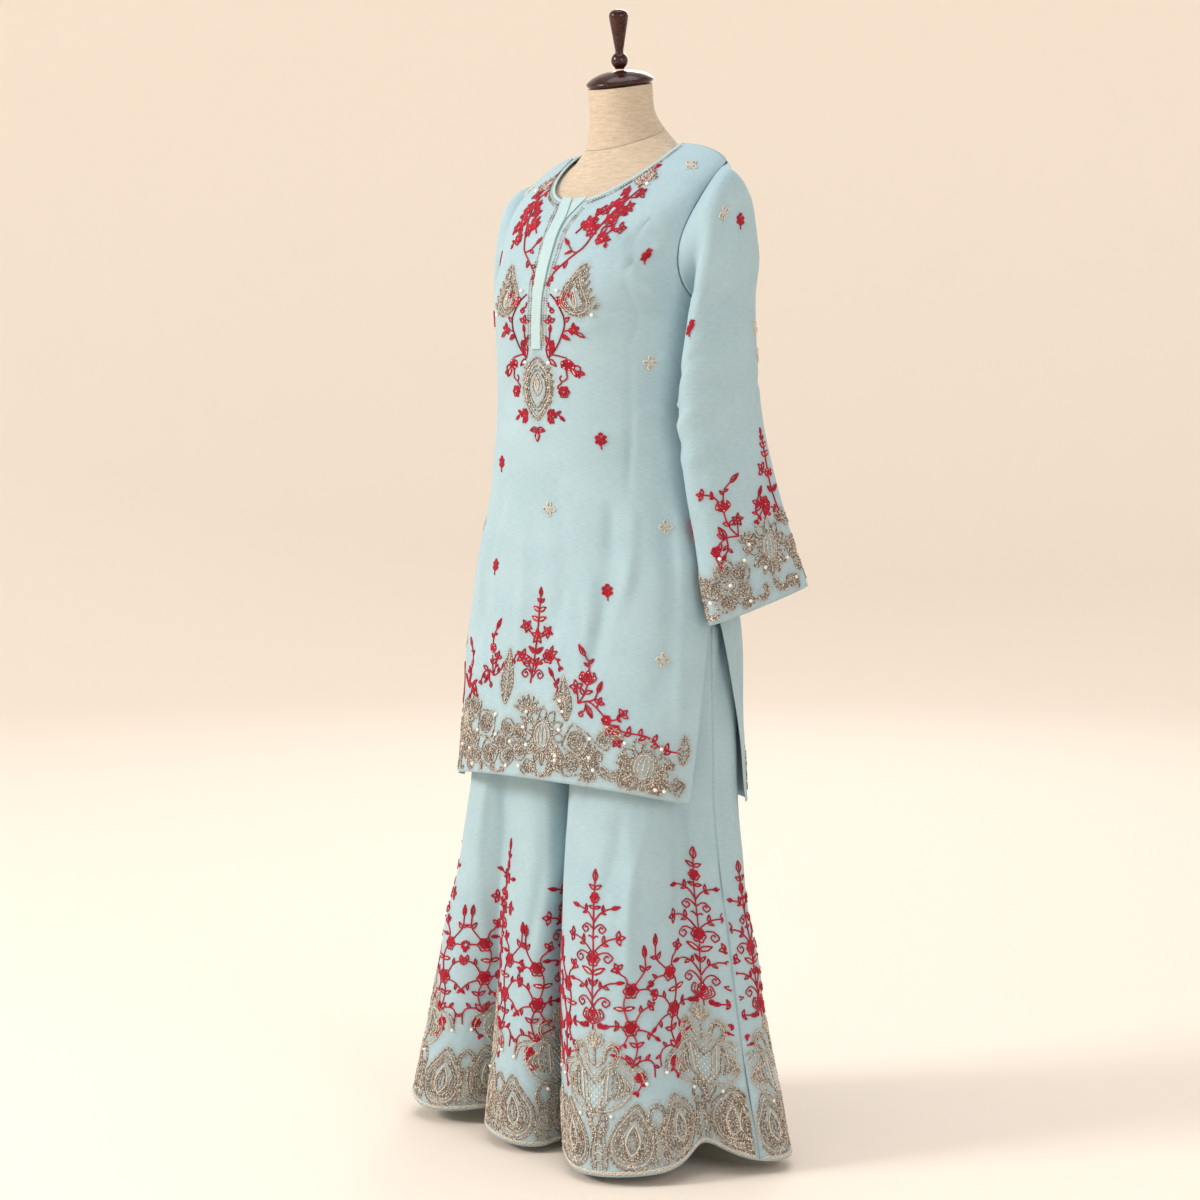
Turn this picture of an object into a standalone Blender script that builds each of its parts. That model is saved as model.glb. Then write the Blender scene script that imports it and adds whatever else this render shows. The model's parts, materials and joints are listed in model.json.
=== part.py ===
"""A salwar kameez suit, a short kameez over flared trousers, on a limbless dress form.

Metres, +Z up. The front faces -Y and the wearer's left is +X. The origin is in the plane of
the base disc's underside, under the middle of the body, so the suit stands on z = 0.
"""

import math

import bmesh
import bpy

# ---- driving dimensions ----
CLOTH = 0.0012  # wall of the crepe with its stitched-down turnings
BINDING = 0.0020  # neck binding, folded round the edge
BAND = 0.0010  # placket bands
WAISTBAND = 0.0024  # trouser top, cloth doubled round elastic
SEAM_GAP = 0.0003
LIFT = 0.0006  # a piece laid on a panel is this far off its face
BINDING_INSET = 0.0004  # the binding's inner face lies this far inside the kameez
WELD = 0.00002  # points closer than this are one

BINDING_HEIGHT = 0.005
PLACKET_WIDTH = 0.019
PLACKET_STAND = 0.004  # how far the bands rise over the neck edge
PLACKET_END_RING = 5.75  # ring of the kameez where the bands end
PLACKET_OPENING = 0.040  # length of the part that stands open
PLACKET_SPREAD = 0.0115  # each band's shift from the centre line, at the neck
SLIT_HALF_WIDTH = 0.004
SLIT_REACH = 0.13  # the radius on which the placket's slit is measured
FRONT_COLUMNS, BACK_COLUMNS = 16, 14
RING_STEP = 0.052  # about how far the second ring of the kameez lies below its neck edge

WAIST_Z = 1.044
WAISTBAND_HEIGHT = 0.030
SEAM_RADIUS = 0.12  # the radius on which the gaps of the trouser seams are measured
CROTCH_GAP = 0.0022  # half the space between the legs
FOLD_TOP_Z = 0.85  # the trouser folds fade out here

BASE_RADIUS = 0.120
BASE_Y = 0.035  # the disc stands behind the middle, inside the hems
BASE_THICKNESS = 0.006
POLE_RADIUS = 0.0125
POLE_X = -0.108  # the pole goes down the right leg
POLE_Y = -0.004
PLATE_RADIUS = 0.038
PLATE_THICKNESS = 0.006
TORSO_BOTTOM_Z = 0.833

CAP_CENTRE = (0.0, 0.0195, 1.5075)
CAP_LEAN = math.radians(10.0)
FINIAL_LEAN = math.radians(2.0)

# ---- rings of the kameez, neck edge first ----
# half_width, side_y, front_y, back_y, side_z, front_z, back_z, squareness
RING_COLUMNS = (
    "half_width", "side_y", "front_y", "back_y", "side_z", "front_z", "back_z", "square",
)
KAMEEZ_RINGS = (
    (0.092, 0.044, -0.081, 0.116, 1.4210, 1.340, 1.401, 2.00),  # neck edge
    (0.132, 0.050, -0.119, 0.129, 1.4140, 1.300, 1.359, 2.00),  # upper chest
    (0.166, 0.052, -0.138, 0.134, 1.3910, 1.262, 1.302, 2.00),  # shoulder point
    (0.172, 0.042, -0.148, 0.132, 1.3270, 1.233, 1.256, 2.00),
    (0.174, 0.030, -0.153, 0.128, 1.2580, 1.210, 1.220, 2.00),
    (0.168, 0.018, -0.156, 0.122, 1.1930, 1.183, 1.183, 2.00),  # underarm
    (0.164, 0.008, -0.158, 0.117, 1.1180, 1.118, 1.118, 2.00),
    (0.163, 0.002, -0.157, 0.115, 1.0480, 1.048, 1.048, 2.00),  # waist
    (0.174, -0.006, -0.155, 0.121, 0.9480, 0.948, 0.948, 2.05),
    (0.189, -0.014, -0.155, 0.126, 0.8580, 0.858, 0.858, 2.15),
    (0.199, -0.019, -0.158, 0.128, 0.7880, 0.793, 0.788, 2.25),  # top of the side slits
    (0.211, -0.019, -0.167, 0.130, 0.6460, 0.670, 0.644, 2.35),
    (0.219, -0.018, -0.181, 0.132, 0.5040, 0.542, 0.498, 2.40),  # hem
)
SHOULDER_RING, UNDERARM_RING, SLIT_RING, HEM_RING = 2, 5, 10, 12
ARMHOLE_STEPS = 8  # rows down an armhole, which the sleeve's head shares
ARMHOLE_FRONT = math.radians(26.0)  # how far each armhole cuts into its panel
ARMHOLE_BACK = math.radians(19.0)
SLIT_FRONT = math.radians(19.0)  # how far each panel's edge swings from the side at the hem
SLIT_BACK = math.radians(21.0)

# ---- rings of the dress form's torso and neck, in the same columns ----
TORSO_RINGS = (
    (0.056, 0.030, -0.025, 0.086, 1.4330, 1.4130, 1.4540, 2.0),  # neck base
    (0.085, 0.038, -0.058, 0.106, 1.4150, 1.356, 1.412, 2.0),
    (0.123, 0.046, -0.104, 0.119, 1.4050, 1.307, 1.358, 2.0),
    (0.148, 0.047, -0.125, 0.123, 1.3750, 1.267, 1.301, 2.0),  # shoulder end
    (0.157, 0.038, -0.137, 0.121, 1.3080, 1.235, 1.250, 2.0),
    (0.157, 0.026, -0.144, 0.116, 1.2380, 1.208, 1.212, 2.0),
    (0.154, 0.014, -0.144, 0.109, 1.1780, 1.178, 1.178, 2.0),  # bust
    (0.142, 0.003, -0.120, 0.098, 1.1130, 1.113, 1.113, 2.0),
    (0.124, 0.000, -0.100, 0.092, 1.0480, 1.048, 1.048, 2.0),  # waist
    (0.147, 0.000, -0.112, 0.104, 0.9630, 0.963, 0.963, 2.0),
    (0.163, 0.000, -0.119, 0.114, 0.8830, 0.883, 0.883, 2.0),  # hip
    (0.152, 0.000, -0.110, 0.106, 0.8330, 0.833, 0.833, 2.0),
)
NECK_RINGS = (
    (0.0455, 0.0195, -0.0260, 0.0650, 1.5030, 1.4950, 1.5110, 2.0),
    (0.0460, 0.0240, -0.0225, 0.0710, 1.4630, 1.4520, 1.4750, 2.0),
    (0.0550, 0.0300, -0.0250, 0.0850, 1.4336, 1.4136, 1.4546, 2.0),
)
SHOULDER = {"z": 1.38, "drop": 0.012, "tall": 0.07, "wide": 1.0}  # the right one hangs lower
BUST = {"z": 1.193, "angle": math.radians(29), "reach": 0.010, "tall": 0.055, "wide": 0.33}

# ---- sleeves: rows from shoulder to cuff ----
# centre, then the outer half (across and up), the front half and how far the front drops,
# and the turn of the section about the vertical, outer side forward
SLEEVE_COLUMNS = ("x", "y", "z", "out", "rise", "deep", "drop", "turn")
LEFT_SLEEVE = (
    (0.168, 0.020, 1.291, 0.002, 0.096, 0.056, 0.000, 0.0),
    (0.1880, 0.020, 1.282, 0.0160, 0.086, 0.058, 0.000, 0.0),
    (0.1955, 0.011, 1.239, 0.0210, 0.064, 0.061, 0.000, 2.0),
    (0.1970, 0.000, 1.186, 0.0235, 0.041, 0.063, 0.002, 5.0),
    (0.1980, -0.006, 1.123, 0.0260, 0.022, 0.066, 0.004, 8.0),
    (0.2015, -0.005, 1.038, 0.0290, 0.012, 0.070, 0.006, 11.0),
    (0.2140, 0.003, 0.943, 0.0300, 0.008, 0.074, 0.010, 13.0),
    (0.2290, 0.014, 0.863, 0.0295, 0.007, 0.078, 0.016, 14.0),
    (0.2450, 0.025, 0.783, 0.0285, 0.006, 0.082, 0.023, 15.0),
)
RIGHT_SLEEVE = (
    (0.168, 0.020, 1.285, 0.002, 0.090, 0.056, 0.000, 0.0),
    (0.1845, 0.028, 1.272, 0.0120, 0.077, 0.058, 0.000, 0.0),
    (0.1910, 0.036, 1.232, 0.0160, 0.058, 0.061, 0.000, -4.0),
    (0.1945, 0.047, 1.186, 0.0225, 0.041, 0.063, 0.000, -9.0),
    (0.1930, 0.060, 1.123, 0.0270, 0.022, 0.066, 0.000, -14.0),
    (0.1930, 0.074, 1.038, 0.0290, 0.012, 0.070, 0.002, -18.0),
    (0.2020, 0.086, 0.943, 0.0300, 0.008, 0.074, 0.004, -20.0),
    (0.2150, 0.097, 0.863, 0.0295, 0.007, 0.078, 0.006, -20.0),
    (0.2280, 0.108, 0.783, 0.0285, 0.006, 0.082, 0.008, -20.0),
)

# ---- trousers: rows from waist to hem, one leg ----
LEG_COLUMNS = ("z", "outer_x", "centre_x", "centre_y", "front", "back", "square")
LEG_ROWS = (
    (1.044, 0.134, 0.000, 0.000, 0.1075, 0.1000, 2.00),  # waist seam
    (0.978, 0.158, 0.000, -0.001, 0.1220, 0.1130, 2.00),
    (0.918, 0.172, 0.004, -0.002, 0.1300, 0.1205, 2.00),
    (0.858, 0.181, 0.024, -0.004, 0.1310, 0.1230, 2.10),
    (0.803, 0.186, 0.062, -0.006, 0.1270, 0.1160, 2.30),
    (0.753, 0.189, 0.0958, -0.009, 0.1210, 0.1125, 2.60),  # crotch
    (0.678, 0.192, 0.0972, -0.012, 0.1170, 0.1120, 2.80),
    (0.578, 0.197, 0.1000, -0.016, 0.1170, 0.1150, 2.90),
    (0.488, 0.204, 0.1040, -0.020, 0.1200, 0.1150, 3.00),
    (0.338, 0.230, 0.1170, -0.027, 0.1290, 0.1190, 2.80),
    (0.188, 0.258, 0.1320, -0.031, 0.1380, 0.1270, 2.40),
    (0.016, 0.294, 0.1510, -0.032, 0.1490, 0.1400, 2.10),  # hem
)
CROTCH_Z = 0.753

# the largest folds of each leg: angle from the centre front towards the outseam, half width
# in degrees, then at the hem the reach, positive for a ridge and negative for a hollow, and
# how far the hem rises there
FOLD_COLUMNS = ("angle", "wide", "reach", "lift")
LEFT_LEG_FOLDS = (
    (-46, 22, 0.012, 0.000),
    (-4, 24, 0.034, -0.004),
    (62, 20, -0.050, 0.030),
    (110, 20, 0.022, 0.000),
    (150, 16, -0.034, 0.020),
    (184, 18, 0.022, 0.000),
    (222, 16, -0.030, 0.016),
)
RIGHT_LEG_FOLDS = (
    (-50, 20, 0.040, -0.006),
    (8, 26, -0.112, 0.012),
    (72, 20, 0.022, 0.016),
    (100, 14, 0.014, 0.012),
    (136, 15, -0.034, 0.026),
    (168, 17, 0.024, 0.000),
    (208, 17, -0.032, 0.018),
)
LIFT_TOP_Z = 0.44  # the rise of the hem fades out here


def table_row(columns, table, at):
    """The row at a fractional place, on a smooth curve through the rows, as a dictionary."""
    last = len(table) - 1
    at = min(max(at, 0.0), float(last))
    low = min(int(at), last - 1)
    part = at - low
    before, first = table[max(low - 1, 0)], table[low]
    second, after = table[low + 1], table[min(low + 2, last)]
    row = {}
    for i, column in enumerate(columns):
        start = (second[i] - before[i]) / 2 if low > 0 else second[i] - first[i]
        end = (after[i] - first[i]) / 2 if low + 2 <= last else second[i] - first[i]
        row[column] = (
            first[i] * (2 * part**3 - 3 * part**2 + 1)
            + start * (part**3 - 2 * part**2 + part)
            + second[i] * (3 * part**2 - 2 * part**3)
            + end * (part**3 - part**2)
        )
    return row


def power(value, exponent):
    return math.copysign(abs(value) ** exponent, value)


def ring_point(table, at, angle):
    """A point of a ringed body: angle 0 is the centre front, a quarter turn the left side."""
    row = table_row(RING_COLUMNS, table, at)
    across, forward = math.sin(angle), math.cos(angle)
    end = "front" if forward > 0 else "back"
    share = 2.0 / row["square"]
    x = row["half_width"] * power(across, share)
    y = row["side_y"] + (row[end + "_y"] - row["side_y"]) * abs(forward) ** share
    z = row["side_z"] + (row[end + "_z"] - row["side_z"]) * abs(forward) ** 1.15
    turned = math.remainder(angle, 2 * math.pi)
    outwards = (turned + math.pi / 2) / SHOULDER["wide"]
    upwards = max(SHOULDER["z"] - z, 0.0) / SHOULDER["tall"]
    if table is not NECK_RINGS:
        z -= SHOULDER["drop"] * math.exp(-outwards * outwards - upwards * upwards)
    beside = (abs(turned) - BUST["angle"]) / BUST["wide"]
    above = (z - BUST["z"]) / BUST["tall"]
    y -= BUST["reach"] * math.exp(-beside * beside - above * above)
    return (x, y, z)


# ---- scene and materials ----


def clear_scene():
    for thing in list(bpy.data.objects):
        bpy.data.objects.remove(thing, do_unlink=True)


def make_collection(name):
    collection = bpy.data.collections.new(name)
    bpy.context.scene.collection.children.link(collection)
    return collection


def make_material(name, colour, roughness, metallic=0.0):
    material = bpy.data.materials.new(name)
    material.use_nodes = True
    shader = material.node_tree.nodes["Principled BSDF"]
    shader.inputs["Base Color"].default_value = (*colour, 1.0)
    shader.inputs["Roughness"].default_value = roughness
    shader.inputs["Metallic"].default_value = metallic
    return material


def make_object(name, mesh_builder, material, smooth=True):
    mesh = bpy.data.meshes.new(name)
    mesh_builder.to_mesh(mesh)
    mesh_builder.free()
    mesh.materials.append(material)
    if smooth:
        mesh.shade_smooth()
    thing = bpy.data.objects.new(name, mesh)
    SUIT.objects.link(thing)
    return thing


def thicken(thing, thickness):
    """Grows the sheet outwards into a wall."""
    wall = thing.modifiers.new("wall", "SOLIDIFY")
    wall.thickness = thickness
    wall.offset = 1.0
    wall.use_rim = True


def sheet(name, across, down, place, thickness, material, closed=False):
    """A grid whose points are placed by place(u, v), u across and v upwards, as a wall."""
    made = bmesh.new()
    bmesh.ops.create_grid(made, x_segments=across, y_segments=down, size=0.5)
    for point in made.verts:
        point.co = place(point.co.x + 0.5, point.co.y + 0.5)
    if closed:
        bmesh.ops.remove_doubles(made, verts=made.verts, dist=WELD)
    thing = make_object(name, made, material)
    thicken(thing, thickness)
    return thing


# ---- kameez ----


def armhole_cut(at):
    """How deep the armhole is at a ring, from 0 at its ends to 1 halfway."""
    share = 2 * (at - SHOULDER_RING) / (UNDERARM_RING - SHOULDER_RING) - 1
    return math.sqrt(max(1 - share * share, 0.0))


def slit_cut(at):
    share = max(at - SLIT_RING, 0.0) / (HEM_RING - SLIT_RING)
    return share**0.85


def edge_angle(at, armhole, slit):
    """The angle from a panel's middle to its side edge, less its half of the seam gap."""
    row = table_row(RING_COLUMNS, KAMEEZ_RINGS, at)
    seam = 0.5 * SEAM_GAP / abs(row["front_y"] - row["side_y"])
    return math.pi / 2 - armhole * armhole_cut(at) - slit * slit_cut(at) - seam


def panel_rings():
    """The rings that a panel's rows lie on, neck first, closer together round the armhole."""
    first = (BINDING_HEIGHT + 2 * SEAM_GAP) / RING_STEP
    rings = [first, 0.4, 1.0, 1.5]
    span = UNDERARM_RING - SHOULDER_RING
    for step in range(ARMHOLE_STEPS + 1):
        share = (1 - math.cos(math.pi * step / ARMHOLE_STEPS)) / 2
        rings.append(SHOULDER_RING + span * share)
    rings += [6, 7, 8, 9, 9.5, 10, 10.5, 11, 11.5, 12]
    return rings


def panel_point(rings, armhole, slit, middle, u, v):
    at = rings[int(round((1 - v) * (len(rings) - 1)))]
    angle = middle + (2 * u - 1) * edge_angle(at, armhole, slit)
    return ring_point(KAMEEZ_RINGS, at, angle)


def kameez_front(cloth):
    """The front, slit down its middle from the neck for the placket."""
    rings = panel_rings()
    across = FRONT_COLUMNS
    half_turn = across // 2
    narrow = SLIT_HALF_WIDTH / SLIT_REACH
    made = bmesh.new()
    bmesh.ops.create_grid(made, x_segments=across, y_segments=len(rings) - 1, size=0.5)
    slit_faces = []
    for face in made.faces:
        middle = face.calc_center_median()
        row = (0.5 - middle.y) * (len(rings) - 1)
        if abs(middle.x) < 1.0 / across and row < 4.0:
            slit_faces.append(face)
    for point in made.verts:
        column = round(point.co.x * across)
        place = round((0.5 - point.co.y) * (len(rings) - 1))
        at = rings[place]
        edge = edge_angle(at, ARMHOLE_FRONT, SLIT_FRONT)
        share = abs(column) - 1
        angle = narrow + (edge - narrow) * share / (half_turn - 1) if column else 0.0
        point.co = ring_point(KAMEEZ_RINGS, at, math.copysign(angle, column))
    bmesh.ops.delete(made, geom=slit_faces, context="FACES_ONLY")
    loose = [edge for edge in made.edges if not edge.link_faces]
    bmesh.ops.delete(made, geom=loose, context="EDGES")
    loose = [point for point in made.verts if not point.link_faces]
    bmesh.ops.delete(made, geom=loose, context="VERTS")
    thicken(make_object("kameez_front", made, cloth), CLOTH)


def kameez_back(cloth):
    rings = panel_rings()

    def place(u, v):
        return panel_point(rings, ARMHOLE_BACK, SLIT_BACK, math.pi, u, v)

    sheet("kameez_back", BACK_COLUMNS, len(rings) - 1, place, CLOTH, cloth)


def off_front(at, angle, lift):
    """A point of the kameez moved out from its face by lift."""
    here = ring_point(KAMEEZ_RINGS, at, angle)
    step = 0.01
    right = ring_point(KAMEEZ_RINGS, at, angle + step)
    left = ring_point(KAMEEZ_RINGS, at, angle - step)
    lower = ring_point(KAMEEZ_RINGS, at + step, angle)
    upper = ring_point(KAMEEZ_RINGS, at - step, angle)
    ax, ay, az = (right[i] - left[i] for i in range(3))
    bx, by, bz = (upper[i] - lower[i] for i in range(3))
    normal = (ay * bz - az * by, az * bx - ax * bz, ax * by - ay * bx)
    size = math.sqrt(sum(n * n for n in normal))
    return tuple(here[i] + normal[i] / size * lift for i in range(3))


def front_ring_below(length):
    """The ring that lies this far below the neck edge, measured down the centre front."""
    at, run, step = 0.0, 0.0, 0.01
    while run < length:
        here, below = (ring_point(KAMEEZ_RINGS, place, 0.0) for place in (at, at + step))
        run += math.dist(here, below)
        at += step
    return at


def placket_band(name, side, lift, cloth):
    """A band down the centre front, swung off the centre line where the neck stands open."""
    open_ring = front_ring_below(PLACKET_OPENING)
    rings = [ring for ring in panel_rings() if ring < PLACKET_END_RING]
    rings = [-0.05, 0.0, rings[0], 0.25, rings[1], 0.6, 0.8] + rings[2:] + [PLACKET_END_RING]

    def place(u, v):
        ring = rings[int(round((1 - v) * (len(rings) - 1)))]
        at = max(ring, 0.0)
        shift = side * PLACKET_SPREAD * max(1 - at / open_ring, 0.0) ** 1.2
        x = shift + (u - 0.5) * PLACKET_WIDTH
        angle = math.asin(x / table_row(RING_COLUMNS, KAMEEZ_RINGS, at)["half_width"])
        here = off_front(at, angle, lift)
        if ring < 0:
            below = off_front(rings[2], angle, lift)
            grow = PLACKET_STAND / math.dist(here, below)
            here = tuple(here[i] + (here[i] - below[i]) * grow for i in range(3))
        return here

    sheet(name, 2, len(rings) - 1, place, BAND, cloth)


def neck_binding(cloth):
    """The folded binding round the neck edge, open at the centre front for the placket."""
    bands_edge = PLACKET_SPREAD + PLACKET_WIDTH / 2 + BAND
    start = bands_edge / KAMEEZ_RINGS[0][0]
    half = math.pi / 2
    narrow = SLIT_HALF_WIDTH / SLIT_REACH
    columns = FRONT_COLUMNS // 2 - 1
    turns = [narrow + (half - narrow) * step / columns for step in range(columns + 1)]
    turns = [start] + [turn for turn in turns if turn > start]
    turns += [half + math.pi * step / BACK_COLUMNS for step in range(1, BACK_COLUMNS // 2 + 1)]
    turns += [2 * math.pi - turn for turn in reversed(turns[:-1])]
    low_ring = BINDING_HEIGHT / RING_STEP

    def place(u, v):
        angle = turns[int(round(u * (len(turns) - 1)))]
        return off_front(low_ring * (1 - v), angle, -BINDING_INSET)

    sheet("neck_binding", len(turns) - 1, 1, place, BINDING, cloth)


# ---- sleeves ----


def armhole_point(side, share):
    """A point of an armhole, from the shoulder forwards and round, just inside its edge."""
    span = UNDERARM_RING - SHOULDER_RING
    at = SHOULDER_RING + span * (1 - math.cos(2 * math.pi * share)) / 2
    if share <= 0.5:
        angle = edge_angle(at, ARMHOLE_FRONT, SLIT_FRONT)
    else:
        angle = math.pi - edge_angle(at, ARMHOLE_BACK, SLIT_BACK)
    x, y, z = ring_point(KAMEEZ_RINGS, at, side * angle)
    _, middle_y, middle_z = LEFT_SLEEVE[0][:3]
    inwards = 2 * SEAM_GAP / math.hypot(y - middle_y, z - middle_z)
    beyond = 3 * SEAM_GAP + 1.5 * CLOTH * min(2.5 * math.sin(math.pi * share), 1.0)
    return (side * x + beyond, y + (middle_y - y) * inwards, z + (middle_z - z) * inwards)


def sleeve_section(table, at, share):
    """A point of a left sleeve's section; share 0 is its outer side, a quarter its front."""
    row = table_row(SLEEVE_COLUMNS, table, at)
    around = 2 * math.pi * share
    outer, front = math.cos(around), math.sin(around)
    turn = math.radians(row["turn"])
    x = row["out"] * outer
    y = -row["deep"] * front
    return (
        row["x"] + x * math.cos(turn) + y * math.sin(turn),
        row["y"] - x * math.sin(turn) + y * math.cos(turn),
        row["z"] + row["rise"] * outer - row["drop"] * front,
    )


def sleeve(name, side, table, cloth):
    rows = [0, 0.35, 0.7, 1.1, 1.6, 2.2, 3.0, 4.0, 5.0, 6.0, 7.0, 8.0]

    def place(u, v):
        share = u % 1.0
        at = rows[int(round((1 - v) * (len(rows) - 1)))]
        if side > 0:
            share = (1.0 - share) % 1.0
        x, y, z = sleeve_section(table, at, share)
        if at < 1.0:
            armhole = armhole_point(side, share)
            start = sleeve_section(table, 0, share)
            fade = (1 - at) ** 2
            x, y, z = (p + (a - s) * fade for p, a, s in zip((x, y, z), armhole, start))
        return (side * x, y, z)

    sheet(name, 2 * ARMHOLE_STEPS, len(rows) - 1, place, CLOTH, cloth, closed=True)


# ---- trousers ----


def leg_fade(z):
    return max((FOLD_TOP_Z - z) / FOLD_TOP_Z, 0.0) ** 1.3


def leg_row(z):
    """The trouser row at height z."""
    heights = [row[0] for row in LEG_ROWS]
    low = next((i for i in range(len(heights) - 2) if heights[i + 1] <= z), len(heights) - 2)
    at = low + (heights[low] - z) / (heights[low] - heights[low + 1])
    return table_row(LEG_COLUMNS, LEG_ROWS, at)


def leg_point(folds, z, angle):
    """A point of one leg, outer side at +X; angle 0 is the front, a quarter turn the outseam."""
    row = leg_row(z)
    reach, lift = 0.0, 0.0
    for fold in folds:
        named = dict(zip(FOLD_COLUMNS, fold))
        away = math.remainder(math.degrees(angle) - named["angle"], 360.0) / named["wide"]
        near = math.exp(-away * away)
        reach += named["reach"] * near
        lift += named["lift"] * near
    reach *= leg_fade(z)
    lift *= max(1 - z / LIFT_TOP_Z, 0.0)
    wide = row["outer_x"] - row["centre_x"]
    deep = row["front"] if math.cos(angle) > 0 else row["back"]
    share = 2.0 / (row["square"] if math.sin(angle) < 0 else 2.0)
    x = row["centre_x"] + (wide + reach) * power(math.sin(angle), share)
    y = row["centre_y"] - (deep + reach) * power(math.cos(angle), share)
    if z < CROTCH_Z:
        x = max(x, CROTCH_GAP)
    return (x, y, z + lift)


def seam_angle(z):
    """The angle at which a leg's section meets the middle of the body."""
    if z <= CROTCH_Z:
        return -math.pi / 2
    row = leg_row(z)
    reach = min((row["centre_x"] - CROTCH_GAP) / (row["outer_x"] - row["centre_x"]), 1.0)
    return -math.asin(power(reach, row["square"] / 2))


def trouser_panel(name, side, front, folds, cloth):
    heights = [
        1.0435, 0.998, 0.938, 0.878, 0.833, 0.798, 0.770, 0.753, 0.678, 0.578, 0.478, 0.368,
        0.248, 0.128, 0.016,
    ]
    gap = 0.5 * SEAM_GAP / SEAM_RADIUS

    def place(u, v):
        z = heights[int(round((1 - v) * (len(heights) - 1)))]
        inner = seam_angle(z) + gap
        outer = math.pi / 2 - gap
        along = u if side > 0 else 1 - u
        if not front:
            along = 1 - along
        angle = inner + (outer - inner) * along
        if not front:
            angle = math.pi - angle
        x, y, z = leg_point(folds, z, angle)
        return (side * x, y, z)

    sheet(name, 14, len(heights) - 1, place, CLOTH, cloth)


def waistband(cloth):
    """The elastic waistband, one ring round the form above the four trouser panels."""
    low = WAIST_Z + SEAM_GAP
    top_row = dict(zip(LEG_COLUMNS, LEG_ROWS[0]))

    def place(u, v):
        angle = 2 * math.pi * (u % 1.0)
        deep = top_row["front"] if math.cos(angle) > 0 else top_row["back"]
        x = top_row["outer_x"] * math.sin(angle)
        return (x, -deep * math.cos(angle), low + WAISTBAND_HEIGHT * v)

    sheet("waistband", 32, 1, place, WAISTBAND, cloth, closed=True)


# ---- dress form ----


def lofted_solid(name, table, rows, around, material):
    """A closed solid through rings: a grid wrapped into a tube, with both ends filled."""
    made = bmesh.new()
    bmesh.ops.create_grid(made, x_segments=around, y_segments=rows, size=0.5)
    for point in made.verts:
        at = (0.5 - point.co.y) * (len(table) - 1)
        angle = 2 * math.pi * ((point.co.x + 0.5) % 1.0)
        point.co = ring_point(table, at, angle)
    bmesh.ops.remove_doubles(made, verts=made.verts, dist=WELD)
    ends = [edge for edge in made.edges if edge.is_boundary]
    bmesh.ops.holes_fill(made, edges=ends, sides=0)
    bmesh.ops.recalc_face_normals(made, faces=made.faces)
    return make_object(name, made, material)


def turned(name, profile, centre, lean, material, steps=32):
    """A solid of revolution: profile holds (radius, height) from its top to its foot."""
    made = bmesh.new()
    points = [made.verts.new((radius, 0.0, height)) for radius, height in profile]
    for first, second in zip(points, points[1:]):
        made.edges.new((first, second))
    thing = make_object(name, made, material)
    screw = thing.modifiers.new("turn", "SCREW")
    screw.steps = steps
    screw.render_steps = steps
    screw.use_merge_vertices = True
    screw.merge_threshold = 0.00001
    thing.location = centre
    thing.rotation_euler = (lean, 0.0, 0.0)
    return thing


def arc(centre, radius, start, end, steps):
    """Points of an arc in a turned profile, angles in degrees from the outward direction."""
    points = []
    for step in range(steps + 1):
        angle = math.radians(start + (end - start) * step / steps)
        points.append((centre[0] + radius * math.cos(angle), centre[1] + radius * math.sin(angle)))
    return points


def dress_form(linen, wood):
    lofted_solid("form_torso", TORSO_RINGS, 24, 28, linen)
    lofted_solid("form_neck", NECK_RINGS, 6, 28, linen)
    cap = [(0.0, 0.0175), (0.012, 0.0172), (0.024, 0.0152), (0.036, 0.0112), (0.0445, 0.0060)]
    cap += [(0.0472, 0.0030), (0.0476, 0.0010), (0.0460, -0.0015), (0.0430, -0.0028), (0.0, -0.0028)]
    turned("neck_cap", cap, CAP_CENTRE, CAP_LEAN, wood)
    finial = [(0.0, 0.1020), (0.0060, 0.1014), (0.0110, 0.0990), (0.0132, 0.0950), (0.0134, 0.0900)]
    finial += [(0.0100, 0.0700), (0.0070, 0.0520), (0.0056, 0.0440), (0.0062, 0.0410)]
    finial += arc((0.0, 0.0310), 0.0118, 52, -52, 8)
    finial += [(0.0060, 0.0190), (0.0, 0.0190)]
    turned("finial", finial, CAP_CENTRE, FINIAL_LEAN, wood)


def stand(steel):
    """The disc, the pole that goes down the right leg and the plate under the torso."""
    edge = 0.002
    disc = [(0.0, BASE_THICKNESS), (BASE_RADIUS - edge, BASE_THICKNESS)]
    disc += [(BASE_RADIUS, BASE_THICKNESS - edge), (BASE_RADIUS, 0.0), (0.0, 0.0)]
    turned("base_disc", disc, (0.0, BASE_Y, 0.0), 0.0, steel, steps=48)
    foot = BASE_THICKNESS + SEAM_GAP
    plate_z = TORSO_BOTTOM_Z - SEAM_GAP - PLATE_THICKNESS
    top = plate_z - SEAM_GAP
    collar = 0.024
    pole = [(0.0, top), (POLE_RADIUS, top), (POLE_RADIUS, foot + 0.030), (collar, foot + 0.026)]
    pole += [(collar, foot), (0.0, foot)]
    turned("pole", pole, (POLE_X, POLE_Y, 0.0), 0.0, steel, steps=20)
    plate = [(0.0, PLATE_THICKNESS), (PLATE_RADIUS, PLATE_THICKNESS), (PLATE_RADIUS, 0.0), (0.0, 0.0)]
    turned("pole_plate", plate, (POLE_X, POLE_Y, plate_z), 0.0, steel, steps=24)


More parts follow.
